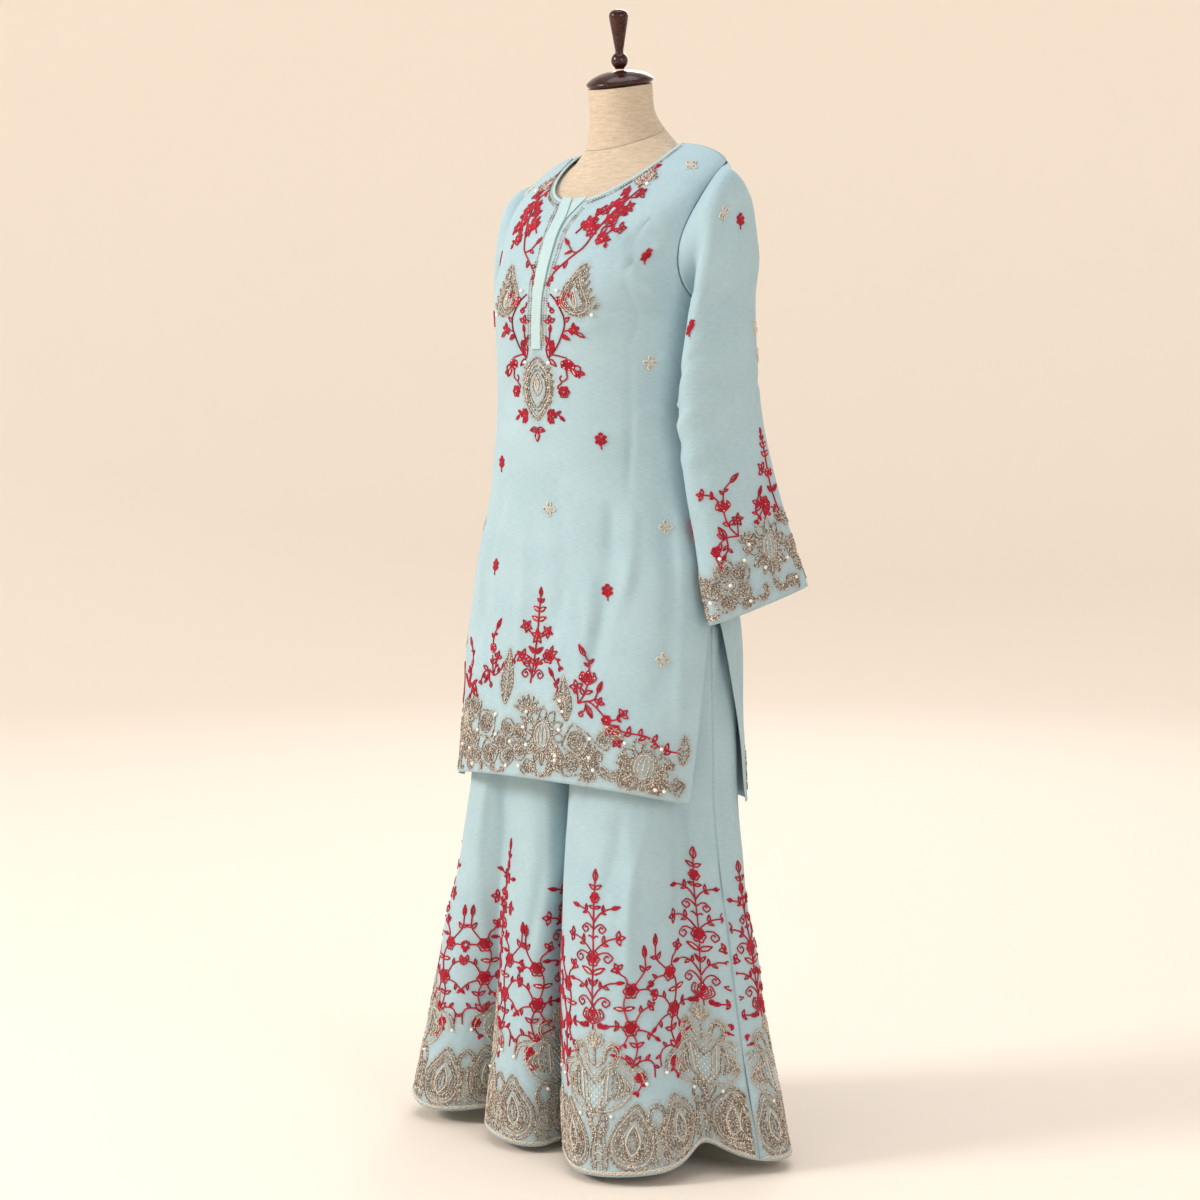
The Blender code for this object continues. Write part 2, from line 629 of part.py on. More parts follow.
def build():
    crepe = make_material("powder_blue_crepe", (0.40, 0.56, 0.60), 0.72)
    edging = make_material("powder_blue_edging", (0.46, 0.61, 0.64), 0.66)
    linen = make_material("beige_linen", (0.80, 0.66, 0.51), 0.85)
    wood = make_material("cherry_lacquer", (0.055, 0.006, 0.006), 0.14)
    steel = make_material("grey_steel", (0.16, 0.16, 0.17), 0.42, 1.0)
    kameez_front(crepe)
    kameez_back(crepe)
    placket_band("placket_under", 1, CLOTH + LIFT, edging)
    placket_band("placket_over", -1, CLOTH + BAND + 2 * LIFT, edging)
    neck_binding(edging)
    sleeve("sleeve_left", 1, LEFT_SLEEVE, crepe)
    sleeve("sleeve_right", -1, RIGHT_SLEEVE, crepe)
    trouser_panel("trouser_left_front", 1, True, LEFT_LEG_FOLDS, crepe)
    trouser_panel("trouser_left_back", 1, False, LEFT_LEG_FOLDS, crepe)
    trouser_panel("trouser_right_front", -1, True, RIGHT_LEG_FOLDS, crepe)
    trouser_panel("trouser_right_back", -1, False, RIGHT_LEG_FOLDS, crepe)
    waistband(edging)
    dress_form(linen, wood)
    stand(steel)


clear_scene()
SUIT = make_collection("salwar_kameez_suit")
build()
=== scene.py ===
import bpy
import bmesh
import json
import math
import numpy as np
from mathutils import Vector
from mathutils.kdtree import KDTree
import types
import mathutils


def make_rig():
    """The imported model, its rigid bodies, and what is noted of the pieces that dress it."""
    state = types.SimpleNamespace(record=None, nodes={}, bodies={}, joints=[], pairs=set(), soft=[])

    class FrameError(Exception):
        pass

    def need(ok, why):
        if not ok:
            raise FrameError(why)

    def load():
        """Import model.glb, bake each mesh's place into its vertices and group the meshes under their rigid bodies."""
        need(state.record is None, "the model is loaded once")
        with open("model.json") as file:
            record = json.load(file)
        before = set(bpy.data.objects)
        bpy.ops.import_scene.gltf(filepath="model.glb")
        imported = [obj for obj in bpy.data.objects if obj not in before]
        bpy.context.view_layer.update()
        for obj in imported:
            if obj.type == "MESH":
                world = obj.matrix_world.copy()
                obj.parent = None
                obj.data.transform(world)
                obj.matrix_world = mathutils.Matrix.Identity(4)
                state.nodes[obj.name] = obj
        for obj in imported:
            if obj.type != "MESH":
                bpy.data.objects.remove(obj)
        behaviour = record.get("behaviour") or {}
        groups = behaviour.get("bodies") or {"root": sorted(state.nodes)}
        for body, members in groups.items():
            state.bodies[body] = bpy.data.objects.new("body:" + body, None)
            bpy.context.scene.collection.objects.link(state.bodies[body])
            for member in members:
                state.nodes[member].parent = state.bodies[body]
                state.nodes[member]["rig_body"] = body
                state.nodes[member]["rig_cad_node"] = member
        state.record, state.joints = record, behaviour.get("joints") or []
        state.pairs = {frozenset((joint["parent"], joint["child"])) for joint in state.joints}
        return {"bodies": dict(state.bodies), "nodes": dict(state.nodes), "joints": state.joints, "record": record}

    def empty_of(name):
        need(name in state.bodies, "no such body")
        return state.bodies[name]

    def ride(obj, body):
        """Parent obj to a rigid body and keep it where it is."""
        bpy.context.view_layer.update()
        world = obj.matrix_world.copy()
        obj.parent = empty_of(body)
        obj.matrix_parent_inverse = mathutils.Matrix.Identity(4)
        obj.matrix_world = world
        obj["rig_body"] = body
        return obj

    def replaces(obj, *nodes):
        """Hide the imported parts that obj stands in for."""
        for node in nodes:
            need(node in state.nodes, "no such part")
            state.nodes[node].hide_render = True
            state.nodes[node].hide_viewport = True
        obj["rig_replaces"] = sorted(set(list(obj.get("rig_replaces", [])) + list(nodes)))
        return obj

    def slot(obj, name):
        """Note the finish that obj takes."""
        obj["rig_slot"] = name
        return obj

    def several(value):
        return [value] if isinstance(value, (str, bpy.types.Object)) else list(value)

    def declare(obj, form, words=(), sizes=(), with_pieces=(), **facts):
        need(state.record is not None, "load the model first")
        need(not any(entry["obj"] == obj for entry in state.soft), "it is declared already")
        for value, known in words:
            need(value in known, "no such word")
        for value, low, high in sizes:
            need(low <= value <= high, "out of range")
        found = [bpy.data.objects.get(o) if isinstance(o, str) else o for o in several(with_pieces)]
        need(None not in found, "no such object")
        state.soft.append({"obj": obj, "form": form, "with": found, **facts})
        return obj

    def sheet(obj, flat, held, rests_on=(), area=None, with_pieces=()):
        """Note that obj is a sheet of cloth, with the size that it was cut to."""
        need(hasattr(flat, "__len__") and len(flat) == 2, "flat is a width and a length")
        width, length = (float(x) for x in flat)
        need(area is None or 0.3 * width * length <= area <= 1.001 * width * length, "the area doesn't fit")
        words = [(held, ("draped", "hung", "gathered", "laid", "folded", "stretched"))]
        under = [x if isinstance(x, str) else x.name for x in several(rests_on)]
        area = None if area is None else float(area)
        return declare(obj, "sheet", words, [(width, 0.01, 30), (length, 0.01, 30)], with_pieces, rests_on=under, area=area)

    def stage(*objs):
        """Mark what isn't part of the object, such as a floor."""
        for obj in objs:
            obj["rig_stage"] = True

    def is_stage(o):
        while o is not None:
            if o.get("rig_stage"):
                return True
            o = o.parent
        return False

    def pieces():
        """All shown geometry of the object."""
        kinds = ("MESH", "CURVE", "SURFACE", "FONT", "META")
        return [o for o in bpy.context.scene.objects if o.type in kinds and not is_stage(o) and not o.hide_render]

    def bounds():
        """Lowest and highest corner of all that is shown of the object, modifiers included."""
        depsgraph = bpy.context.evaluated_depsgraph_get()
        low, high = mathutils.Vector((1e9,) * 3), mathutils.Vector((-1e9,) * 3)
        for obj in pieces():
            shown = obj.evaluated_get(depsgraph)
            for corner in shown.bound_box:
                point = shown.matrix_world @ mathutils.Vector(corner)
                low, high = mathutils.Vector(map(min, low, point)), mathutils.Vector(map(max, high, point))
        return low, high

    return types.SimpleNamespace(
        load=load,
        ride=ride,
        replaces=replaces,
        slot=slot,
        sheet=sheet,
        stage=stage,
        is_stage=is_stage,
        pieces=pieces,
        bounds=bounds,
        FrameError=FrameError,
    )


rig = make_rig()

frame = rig.load()
cadBox = [list(corner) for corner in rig.bounds()]

tau = 2 * math.pi
clothWall = 0.0009
seamGap = 0.0003

# camera

camera = {"turn": 40.0, "distance": 4.2, "height": 1.188, "aim": 0.777, "aside": -0.0156, "lens": 88.65}


def addCamera(c):
    data = bpy.data.cameras.new("camera")
    data.lens = c["lens"]
    data.sensor_width = 36
    thing = bpy.data.objects.new("camera", data)
    turn = math.radians(c["turn"])
    side = Vector((math.cos(turn), math.sin(turn), 0)) * c["aside"]
    eye = Vector((math.sin(turn) * c["distance"], -math.cos(turn) * c["distance"], c["height"])) + side
    look = Vector((0, 0, c["aim"])) + side
    thing.location = eye
    thing.rotation_euler = (look - eye).to_track_quat("-Z", "Y").to_euler()
    bpy.context.scene.collection.objects.link(thing)
    bpy.context.scene.camera = thing


addCamera(camera)

# rings of the kameez and of the dress form

ringColumns = ("halfWidth", "sideY", "frontY", "backY", "sideZ", "frontZ", "backZ", "square")
kameezRings = (
    (0.092, 0.044, -0.081, 0.116, 1.4210, 1.340, 1.401, 2.00),  # neck edge
    (0.132, 0.050, -0.119, 0.129, 1.4140, 1.300, 1.359, 2.00),
    (0.166, 0.052, -0.138, 0.134, 1.3910, 1.262, 1.302, 2.00),  # shoulder point
    (0.172, 0.042, -0.148, 0.132, 1.3270, 1.233, 1.256, 2.00),
    (0.174, 0.030, -0.153, 0.128, 1.2580, 1.210, 1.220, 2.00),
    (0.168, 0.018, -0.156, 0.122, 1.1930, 1.183, 1.183, 2.00),  # underarm
    (0.164, 0.008, -0.158, 0.117, 1.1180, 1.118, 1.118, 2.00),
    (0.163, 0.002, -0.157, 0.115, 1.0480, 1.048, 1.048, 2.00),  # waist
    (0.174, -0.006, -0.155, 0.121, 0.9480, 0.948, 0.948, 2.05),
    (0.189, -0.014, -0.155, 0.126, 0.8580, 0.858, 0.858, 2.15),
    (0.199, -0.019, -0.158, 0.128, 0.7880, 0.793, 0.788, 2.25),  # top of the side slits
    (0.211, -0.019, -0.167, 0.130, 0.6460, 0.670, 0.644, 2.35),
    (0.219, -0.018, -0.181, 0.132, 0.5040, 0.542, 0.498, 2.40),  # hem
)
torsoRings = (
    (0.056, 0.030, -0.025, 0.086, 1.4330, 1.4130, 1.4540, 2.0),  # neck base
    (0.085, 0.038, -0.058, 0.106, 1.4150, 1.356, 1.412, 2.0),
    (0.123, 0.046, -0.104, 0.119, 1.4050, 1.307, 1.358, 2.0),
    (0.148, 0.047, -0.125, 0.123, 1.3750, 1.267, 1.301, 2.0),  # shoulder end
    (0.157, 0.038, -0.137, 0.121, 1.3080, 1.235, 1.250, 2.0),
    (0.157, 0.026, -0.144, 0.116, 1.2380, 1.208, 1.212, 2.0),
    (0.154, 0.014, -0.144, 0.109, 1.1780, 1.178, 1.178, 2.0),
    (0.142, 0.003, -0.120, 0.098, 1.1130, 1.113, 1.113, 2.0),
    (0.124, 0.000, -0.100, 0.092, 1.0480, 1.048, 1.048, 2.0),
    (0.147, 0.000, -0.112, 0.104, 0.9630, 0.963, 0.963, 2.0),
    (0.163, 0.000, -0.119, 0.114, 0.8830, 0.883, 0.883, 2.0),
    (0.152, 0.000, -0.110, 0.106, 0.8330, 0.833, 0.833, 2.0),
)
neckRings = (
    (0.0455, 0.0195, -0.0260, 0.0650, 1.5030, 1.4950, 1.5110, 2.0),
    (0.0460, 0.0240, -0.0225, 0.0710, 1.4630, 1.4520, 1.4750, 2.0),
    (0.0550, 0.0300, -0.0250, 0.0850, 1.4336, 1.4136, 1.4546, 2.0),
)
shoulder = {"z": 1.38, "drop": 0.012, "tall": 0.07, "wide": 1.0}
bust = {"z": 1.193, "angle": math.radians(29), "reach": 0.010, "tall": 0.055, "wide": 0.33}
cut = {
    "shoulderRing": 2, "underarmRing": 5, "slitRing": 10, "hemRing": 12,
    "armholeFront": math.radians(26), "armholeBack": math.radians(19),
    "slitFront": math.radians(19), "slitBack": math.radians(21),
}


rowsFound = {}


def tableRow(columns, table, at):
    key = (id(table), at)
    if key not in rowsFound:
        rowsFound[key] = findRow(columns, table, at)
    return rowsFound[key]


def findRow(columns, table, at):
    last = len(table) - 1
    at = min(max(at, 0.0), float(last))
    low = min(int(at), last - 1)
    part = at - low
    before, first = table[max(low - 1, 0)], table[low]
    second, after = table[low + 1], table[min(low + 2, last)]
    row = {}
    for i, column in enumerate(columns):
        start = (second[i] - before[i]) / 2 if low > 0 else second[i] - first[i]
        end = (after[i] - first[i]) / 2 if low + 2 <= last else second[i] - first[i]
        row[column] = (
            first[i] * (2 * part**3 - 3 * part**2 + 1)
            + start * (part**3 - 2 * part**2 + part)
            + second[i] * (3 * part**2 - 2 * part**3)
            + end * (part**3 - part**2)
        )
    return row


def power(value, exponent):
    return math.copysign(abs(value) ** exponent, value)


def ringPoint(table, at, angle):  # angle 0 is the centre front, a quarter turn the left side
    row = tableRow(ringColumns, table, at)
    across, forward = math.sin(angle), math.cos(angle)
    end = "front" if forward > 0 else "back"
    share = 2.0 / row["square"]
    x = row["halfWidth"] * power(across, share)
    y = row["sideY"] + (row[end + "Y"] - row["sideY"]) * abs(forward) ** share
    z = row["sideZ"] + (row[end + "Z"] - row["sideZ"]) * abs(forward) ** 1.15
    turned = math.remainder(angle, tau)
    outwards = (turned + math.pi / 2) / shoulder["wide"]
    upwards = max(shoulder["z"] - z, 0.0) / shoulder["tall"]
    share = at / 2 if table is neckRings else 1.0  # the neck follows the shoulder at its foot only
    z -= share * shoulder["drop"] * math.exp(-outwards * outwards - upwards * upwards)
    beside = (abs(turned) - bust["angle"]) / bust["wide"]
    above = (z - bust["z"]) / bust["tall"]
    y -= bust["reach"] * math.exp(-beside * beside - above * above)
    return Vector((x, y, z))


def armholeCut(at):
    share = 2 * (at - cut["shoulderRing"]) / (cut["underarmRing"] - cut["shoulderRing"]) - 1
    return math.sqrt(max(1 - share * share, 0.0))


def slitCut(at):
    return (max(at - cut["slitRing"], 0.0) / (cut["hemRing"] - cut["slitRing"])) ** 0.85


def edgeAngle(at, side):  # from a panel's middle to its side edge
    row = tableRow(ringColumns, kameezRings, at)
    seam = 0.5 * seamGap / abs(row["frontY"] - row["sideY"])
    return math.pi / 2 - cut["armhole" + side] * armholeCut(at) - cut["slit" + side] * slitCut(at) - seam


# sleeves and trousers

sleeveColumns = ("x", "y", "z", "out", "rise", "deep", "drop", "turn")
leftSleeve = (
    (0.168, 0.020, 1.291, 0.002, 0.096, 0.056, 0.000, 0.0),
    (0.1880, 0.020, 1.282, 0.0160, 0.086, 0.058, 0.000, 0.0),
    (0.1955, 0.011, 1.239, 0.0210, 0.064, 0.061, 0.000, 2.0),
    (0.1970, 0.000, 1.186, 0.0235, 0.041, 0.063, 0.002, 5.0),
    (0.1980, -0.006, 1.123, 0.0260, 0.022, 0.066, 0.004, 8.0),
    (0.2015, -0.005, 1.038, 0.0290, 0.012, 0.070, 0.006, 11.0),
    (0.2140, 0.003, 0.943, 0.0300, 0.008, 0.074, 0.010, 13.0),
    (0.2290, 0.014, 0.863, 0.0295, 0.007, 0.078, 0.016, 14.0),
    (0.2450, 0.025, 0.783, 0.0285, 0.006, 0.082, 0.023, 15.0),
)
rightSleeve = (
    (0.168, 0.020, 1.285, 0.002, 0.090, 0.056, 0.000, 0.0),
    (0.1845, 0.028, 1.272, 0.0120, 0.077, 0.058, 0.000, 0.0),
    (0.1910, 0.036, 1.232, 0.0160, 0.058, 0.061, 0.000, -4.0),
    (0.1945, 0.047, 1.186, 0.0225, 0.041, 0.063, 0.000, -9.0),
    (0.1930, 0.060, 1.123, 0.0270, 0.022, 0.066, 0.000, -14.0),
    (0.1930, 0.074, 1.038, 0.0290, 0.012, 0.070, 0.002, -18.0),
    (0.2020, 0.086, 0.943, 0.0300, 0.008, 0.074, 0.004, -20.0),
    (0.2150, 0.097, 0.863, 0.0295, 0.007, 0.078, 0.006, -20.0),
    (0.2280, 0.108, 0.783, 0.0285, 0.006, 0.082, 0.008, -20.0),
)


def armholePoint(side, share):
    span = cut["underarmRing"] - cut["shoulderRing"]
    at = cut["shoulderRing"] + span * (1 - math.cos(tau * share)) / 2
    angle = edgeAngle(at, "Front") if share <= 0.5 else math.pi - edgeAngle(at, "Back")
    x, y, z = ringPoint(kameezRings, at, side * angle)
    middleY, middleZ = leftSleeve[0][1:3]
    inwards = 2 * seamGap / math.hypot(y - middleY, z - middleZ)
    beyond = 3 * seamGap + 0.0018 * min(2.5 * math.sin(math.pi * share), 1.0)
    return Vector((side * x + beyond, y + (middleY - y) * inwards, z + (middleZ - z) * inwards))


def sleeveSection(table, at, share):
    row = tableRow(sleeveColumns, table, at)
    outer, front = math.cos(tau * share), math.sin(tau * share)
    turn = math.radians(row["turn"])
    x, y = row["out"] * outer, -row["deep"] * front
    return Vector((
        row["x"] + x * math.cos(turn) + y * math.sin(turn),
        row["y"] - x * math.sin(turn) + y * math.cos(turn),
        row["z"] + row["rise"] * outer - row["drop"] * front,
    ))


def sleevePoint(side, table, at, share):
    share %= 1.0
    point = sleeveSection(table, at, share)
    if at < 1.0:
        point += (armholePoint(side, share) - sleeveSection(table, 0, share)) * (1 - at) ** 2
    return Vector((side * point.x, point.y, point.z))


legColumns = ("z", "outerX", "centreX", "centreY", "front", "back", "square")
legRows = (
    (1.044, 0.134, 0.000, 0.000, 0.1075, 0.1000, 2.00),  # waist seam
    (0.978, 0.158, 0.000, -0.001, 0.1220, 0.1130, 2.00),
    (0.918, 0.172, 0.004, -0.002, 0.1300, 0.1205, 2.00),
    (0.858, 0.181, 0.024, -0.004, 0.1310, 0.1230, 2.10),
    (0.803, 0.186, 0.062, -0.006, 0.1270, 0.1160, 2.30),
    (0.753, 0.189, 0.0958, -0.009, 0.1210, 0.1125, 2.60),  # crotch
    (0.678, 0.192, 0.0972, -0.012, 0.1170, 0.1120, 2.80),
    (0.578, 0.197, 0.1000, -0.016, 0.1170, 0.1150, 2.90),
    (0.488, 0.204, 0.1040, -0.020, 0.1200, 0.1150, 3.00),
    (0.338, 0.230, 0.1170, -0.027, 0.1290, 0.1190, 2.80),
    (0.188, 0.258, 0.1320, -0.031, 0.1380, 0.1270, 2.40),
    (0.016, 0.294, 0.1510, -0.032, 0.1490, 0.1400, 2.10),  # hem
)
foldColumns = ("angle", "wide", "reach", "lift")
leftFolds = (
    (-46, 22, 0.012, 0.000), (-4, 24, 0.034, -0.004), (62, 20, -0.050, 0.030), (110, 20, 0.022, 0.000),
    (150, 16, -0.034, 0.020), (184, 18, 0.022, 0.000), (222, 16, -0.030, 0.016),
)
rightFolds = (
    (-50, 20, 0.040, -0.006), (8, 26, -0.112, 0.012), (72, 20, 0.022, 0.016), (100, 14, 0.014, 0.012),
    (136, 15, -0.034, 0.026), (168, 17, 0.024, 0.000), (208, 17, -0.032, 0.018),
)
leg = {"crotch": 0.753, "foldTop": 0.85, "liftTop": 0.44, "between": 0.0022, "waist": 1.044, "hem": 0.016}


def legRow(z):
    heights = [row[0] for row in legRows]
    low = next((i for i in range(len(heights) - 2) if heights[i + 1] <= z), len(heights) - 2)
    return tableRow(legColumns, legRows, low + (heights[low] - z) / (heights[low] - heights[low + 1]))


def legPoint(side, folds, z, angle, row):
    reach, lift = 0.0, 0.0
    for fold in folds:
        named = dict(zip(foldColumns, fold))
        away = math.remainder(math.degrees(angle) - named["angle"], 360.0) / named["wide"]
        near = math.exp(-away * away)
        reach += named["reach"] * near
        lift += named["lift"] * near
    reach *= max((leg["foldTop"] - z) / leg["foldTop"], 0.0) ** 1.3
    lift *= max(1 - z / leg["liftTop"], 0.0)
    deep = row["front"] if math.cos(angle) > 0 else row["back"]
    share = 2.0 / (row["square"] if math.sin(angle) < 0 else 2.0)
    x = row["centreX"] + (row["outerX"] - row["centreX"] + reach) * power(math.sin(angle), share)
    y = row["centreY"] - (deep + reach) * power(math.cos(angle), share)
    if z < leg["crotch"]:
        x = max(x, leg["between"])
    return Vector((side * x, y, z + lift))


def seamAngle(z, row):
    if z <= leg["crotch"]:
        return -math.pi / 2
    reach = min((row["centreX"] - leg["between"]) / (row["outerX"] - row["centreX"]), 1.0)
    return -math.asin(power(reach, row["square"] / 2))


# cloth panels


def unit(vectors):
    return vectors / np.maximum(np.linalg.norm(vectors, axis=-1, keepdims=True), 1e-9)


def surfaceNormals(points, closed):
    if closed:
        wrapped = np.concatenate([points[:, -2:-1], points, points[:, 1:2]], axis=1)
        across = (wrapped[:, 2:] - wrapped[:, :-2]) / 2
    else:
        across = np.gradient(points, axis=1)
    return unit(np.cross(across, np.gradient(points, axis=0)))


def runs(points, axis):
    steps = np.linalg.norm(np.diff(points, axis=axis), axis=2)
    start = np.zeros_like(steps[:1]) if axis == 0 else np.zeros_like(steps[:, :1])
    return np.concatenate([start, np.cumsum(steps, axis=axis)], axis=axis)


creaseColumns = ("fromS", "fromH", "toS", "toH", "width", "height")


def creaseHeights(s, h, creases):
    total = np.zeros_like(s)
    for crease in creases:
        c = dict(zip(creaseColumns, crease))
        along = np.array((c["toS"] - c["fromS"], c["toH"] - c["fromH"]))
        length = np.linalg.norm(along)
        along = along / length
        x, y = s - c["fromS"], h - c["fromH"]
        t = np.clip((x * along[0] + y * along[1]) / length, -0.15, 1.15)
        bend = 0.12 * length * np.sin(math.pi * t) * math.sin(37 * c["fromS"] + 91 * c["fromH"])
        off = (-x * along[1] + y * along[0] - bend) / c["width"]
        past = np.maximum(np.abs(t - 0.5) - 0.5, 0) / 0.15
        fade = np.clip(np.sin(math.pi * np.clip(t, 0, 1)), 0, 1) ** 0.5 * (1 - past)
        uneven = 0.75 + 0.35 * np.sin(9.0 * t + 60 * c["fromS"])
        total += c["height"] * uneven * np.exp(-off * off) * fade
    rolling = np.sin(31 * s + 5 * np.sin(7 * h)) * np.sin(11 * h + 2.2 * np.sin(13 * s))
    return 1.55 * total + 0.0013 * rolling * np.clip(1.2 - h, 0, 1)


def clothPanel(name, columns, rows, place, creases, material, closed=False, holes=None, wall=clothWall):
    u, v = np.arange(columns + 1) / columns, np.arange(rows + 1) / rows
    points = np.array([[place(a, b) for a in u] for b in v])
    s = runs(points, 1)
    s = s - (s[:, -1:] / 2)
    h = runs(points, 0)
    normals = surfaceNormals(points, closed)
    points = points + normals * (0.0012 + creaseHeights(s, h, creases))[..., None]
    if closed:
        points[:, -1] = points[:, 0]
    normals = surfaceNormals(points, closed)
    made = bmesh.new()
    bmesh.ops.create_grid(made, x_segments=columns, y_segments=rows, size=0.5)
    flat = made.loops.layers.uv.new("flat")
    for face in made.faces:
        for loop in face.loops:
            i, j = round((loop.vert.co.y + 0.5) * rows), round((loop.vert.co.x + 0.5) * columns)
            loop[flat].uv = (s[i, j], h[i, j])
    if holes:
        gone = [f for f in made.faces if holes(*np.mean([loop[flat].uv for loop in f.loops], axis=0))]
        bmesh.ops.delete(made, geom=gone, context="FACES")
    for vert in made.verts:
        i, j = round((vert.co.y + 0.5) * rows), round((vert.co.x + 0.5) * columns)
        vert.co = points[i, j]
    if closed:
        bmesh.ops.remove_doubles(made, verts=made.verts, dist=0.00001)
    thing = finished(name, made, material)
    shell = thing.modifiers.new("wall", "SOLIDIFY")
    shell.thickness = wall
    shell.offset = -1
    return {"object": thing, "points": points, "normals": normals, "s": s, "h": h, "closed": closed,
            "threads": {}, "beads": {}}


def finished(name, made, material, slot=None, replaced=()):
    mesh = bpy.data.meshes.new(name)
    made.to_mesh(mesh)
    made.free()
    mesh.shade_smooth()
    mesh.materials.append(material)
    thing = bpy.data.objects.new(name, mesh)
    bpy.context.scene.collection.objects.link(thing)
    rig.ride(thing, "root")
    if slot:
        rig.slot(thing, slot)
    if replaced:
        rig.replaces(thing, *replaced)
    return thing


# shader groups


def newGroup(name, inputs, outputs):
    group = bpy.data.node_groups.new(name, "ShaderNodeTree")
    for socket, kind, value in inputs:
        made = group.interface.new_socket(socket, in_out="INPUT", socket_type=kind)
        made.default_value = value
    for socket, kind in outputs:
        group.interface.new_socket(socket, in_out="OUTPUT", socket_type=kind)
    return group, group.nodes.new("NodeGroupInput"), group.nodes.new("NodeGroupOutput")


def join(tree, start, end):
    tree.links.new(start, end)


def addNoise(tree, vector, scale, detail=2.0, roughness=0.5):
    node = tree.nodes.new("ShaderNodeTexNoise")
    node.inputs["Scale"].default_value = scale
    node.inputs["Detail"].default_value = detail
    node.inputs["Roughness"].default_value = roughness
    join(tree, vector, node.inputs["Vector"])
    return node.outputs["Fac"]


def addMath(tree, kind, a, b):
    node = tree.nodes.new("ShaderNodeMath")
    node.operation = kind
    for socket, value in zip(node.inputs, (a, b)):
        if hasattr(value, "default_value"):
            join(tree, value, socket)
        else:
            socket.default_value = value
    return node.outputs[0]


def addRange(tree, value, low, high, toLow=0.0, toHigh=1.0):
    node = tree.nodes.new("ShaderNodeMapRange")
    for name, number in (("From Min", low), ("From Max", high), ("To Min", toLow), ("To Max", toHigh)):
        node.inputs[name].default_value = number
    join(tree, value, node.inputs["Value"])
    return node.outputs[0]


def addStretch(tree, vector, scale):
    node = tree.nodes.new("ShaderNodeMapping")
    node.inputs["Scale"].default_value = scale
    join(tree, vector, node.inputs["Vector"])
    return node.outputs[0]


def addMix(tree, factor, first, second):
    node = tree.nodes.new("ShaderNodeMix")
    node.data_type = "RGBA"
    join(tree, factor, node.inputs[0])
    for socket, value in ((node.inputs[6], first), (node.inputs[7], second)):
        if hasattr(value, "default_value"):
            join(tree, value, socket)
        else:
            socket.default_value = (*value, 1)
    return node.outputs[2]


# cross-wise slub of a crepe: fine streaks that come and go, with a faint warp between them
slub = {"across": 90.0, "along": 1500.0, "weft": 4200.0, "warp": 2600.0}


def makeCrepeGroup():
    group, given, out = newGroup(
        "crepeWeave",
        [("Flat", "NodeSocketVector", (0, 0, 0)), ("Tint", "NodeSocketColor", (0.4, 0.56, 0.6, 1)),
         ("Shade", "NodeSocketColor", (0.3, 0.44, 0.48, 1))],
        [("Color", "NodeSocketColor"), ("Height", "NodeSocketFloat"), ("Roughness", "NodeSocketFloat")],
    )
    flat = given.outputs["Flat"]
    streak = addNoise(group, addStretch(group, flat, (slub["across"], slub["along"], 1)), 1.0, 3.0, 0.6)
    weft = addNoise(group, addStretch(group, flat, (240, slub["weft"], 1)), 1.0, 1.0)
    warp = addNoise(group, addStretch(group, flat, (slub["warp"], 300, 1)), 1.0, 1.0)
    broad = addNoise(group, addStretch(group, flat, (9, 14, 1)), 1.0, 2.0)
    mix = addMath(group, "ADD", addMath(group, "MULTIPLY", streak, 0.75), addMath(group, "MULTIPLY", broad, 0.25))
    join(group, addMix(group, addRange(group, mix, 0.36, 0.62), given.outputs["Shade"], given.outputs["Tint"]),
         out.inputs["Color"])
    fine = addMath(group, "ADD", addMath(group, "MULTIPLY", weft, 0.5), addMath(group, "MULTIPLY", warp, 0.3))
    join(group, addMath(group, "ADD", streak, fine), out.inputs["Height"])
    join(group, addRange(group, streak, 0.3, 0.7, 0.78, 0.62), out.inputs["Roughness"])
    return group


# rows of small beads and coiled wire, as a lumpy surface with painted highlights on the tops and painted shade in the
# gaps
def makeBeadGroup():
    group, given, out = newGroup(
        "beadWork",
        [("Place", "NodeSocketVector", (0, 0, 0)), ("Size", "NodeSocketFloat", 420.0),
         ("Bead", "NodeSocketColor", (0.6, 0.5, 0.36, 1)), ("ShadedGap", "NodeSocketColor", (0.12, 0.08, 0.05, 1))],
        [("Color", "NodeSocketColor"), ("Height", "NodeSocketFloat"), ("Roughness", "NodeSocketFloat")],
    )
    cells = group.nodes.new("ShaderNodeTexVoronoi")
    join(group, given.outputs["Place"], cells.inputs["Vector"])
    join(group, given.outputs["Size"], cells.inputs["Scale"])
    height = addRange(group, cells.outputs["Distance"], 0.0, 0.62, 1.0, 0.0)
    tone = addNoise(group, given.outputs["Place"], 130.0, 2.0)
    # colour follows the bump: the top colour is the beads' own colour with a painted highlight, the gap colour is
    # painted shade between the beads
    lit = addMath(group, "MULTIPLY", addRange(group, height, 0.1, 0.6), addRange(group, tone, 0.25, 0.6, 0.6, 1.0))
    join(group, addMix(group, lit, given.outputs["ShadedGap"], given.outputs["Bead"]), out.inputs["Color"])
    join(group, height, out.inputs["Height"])
    join(group, addRange(group, tone, 0.3, 0.7, 0.28, 0.55), out.inputs["Roughness"])
    return group


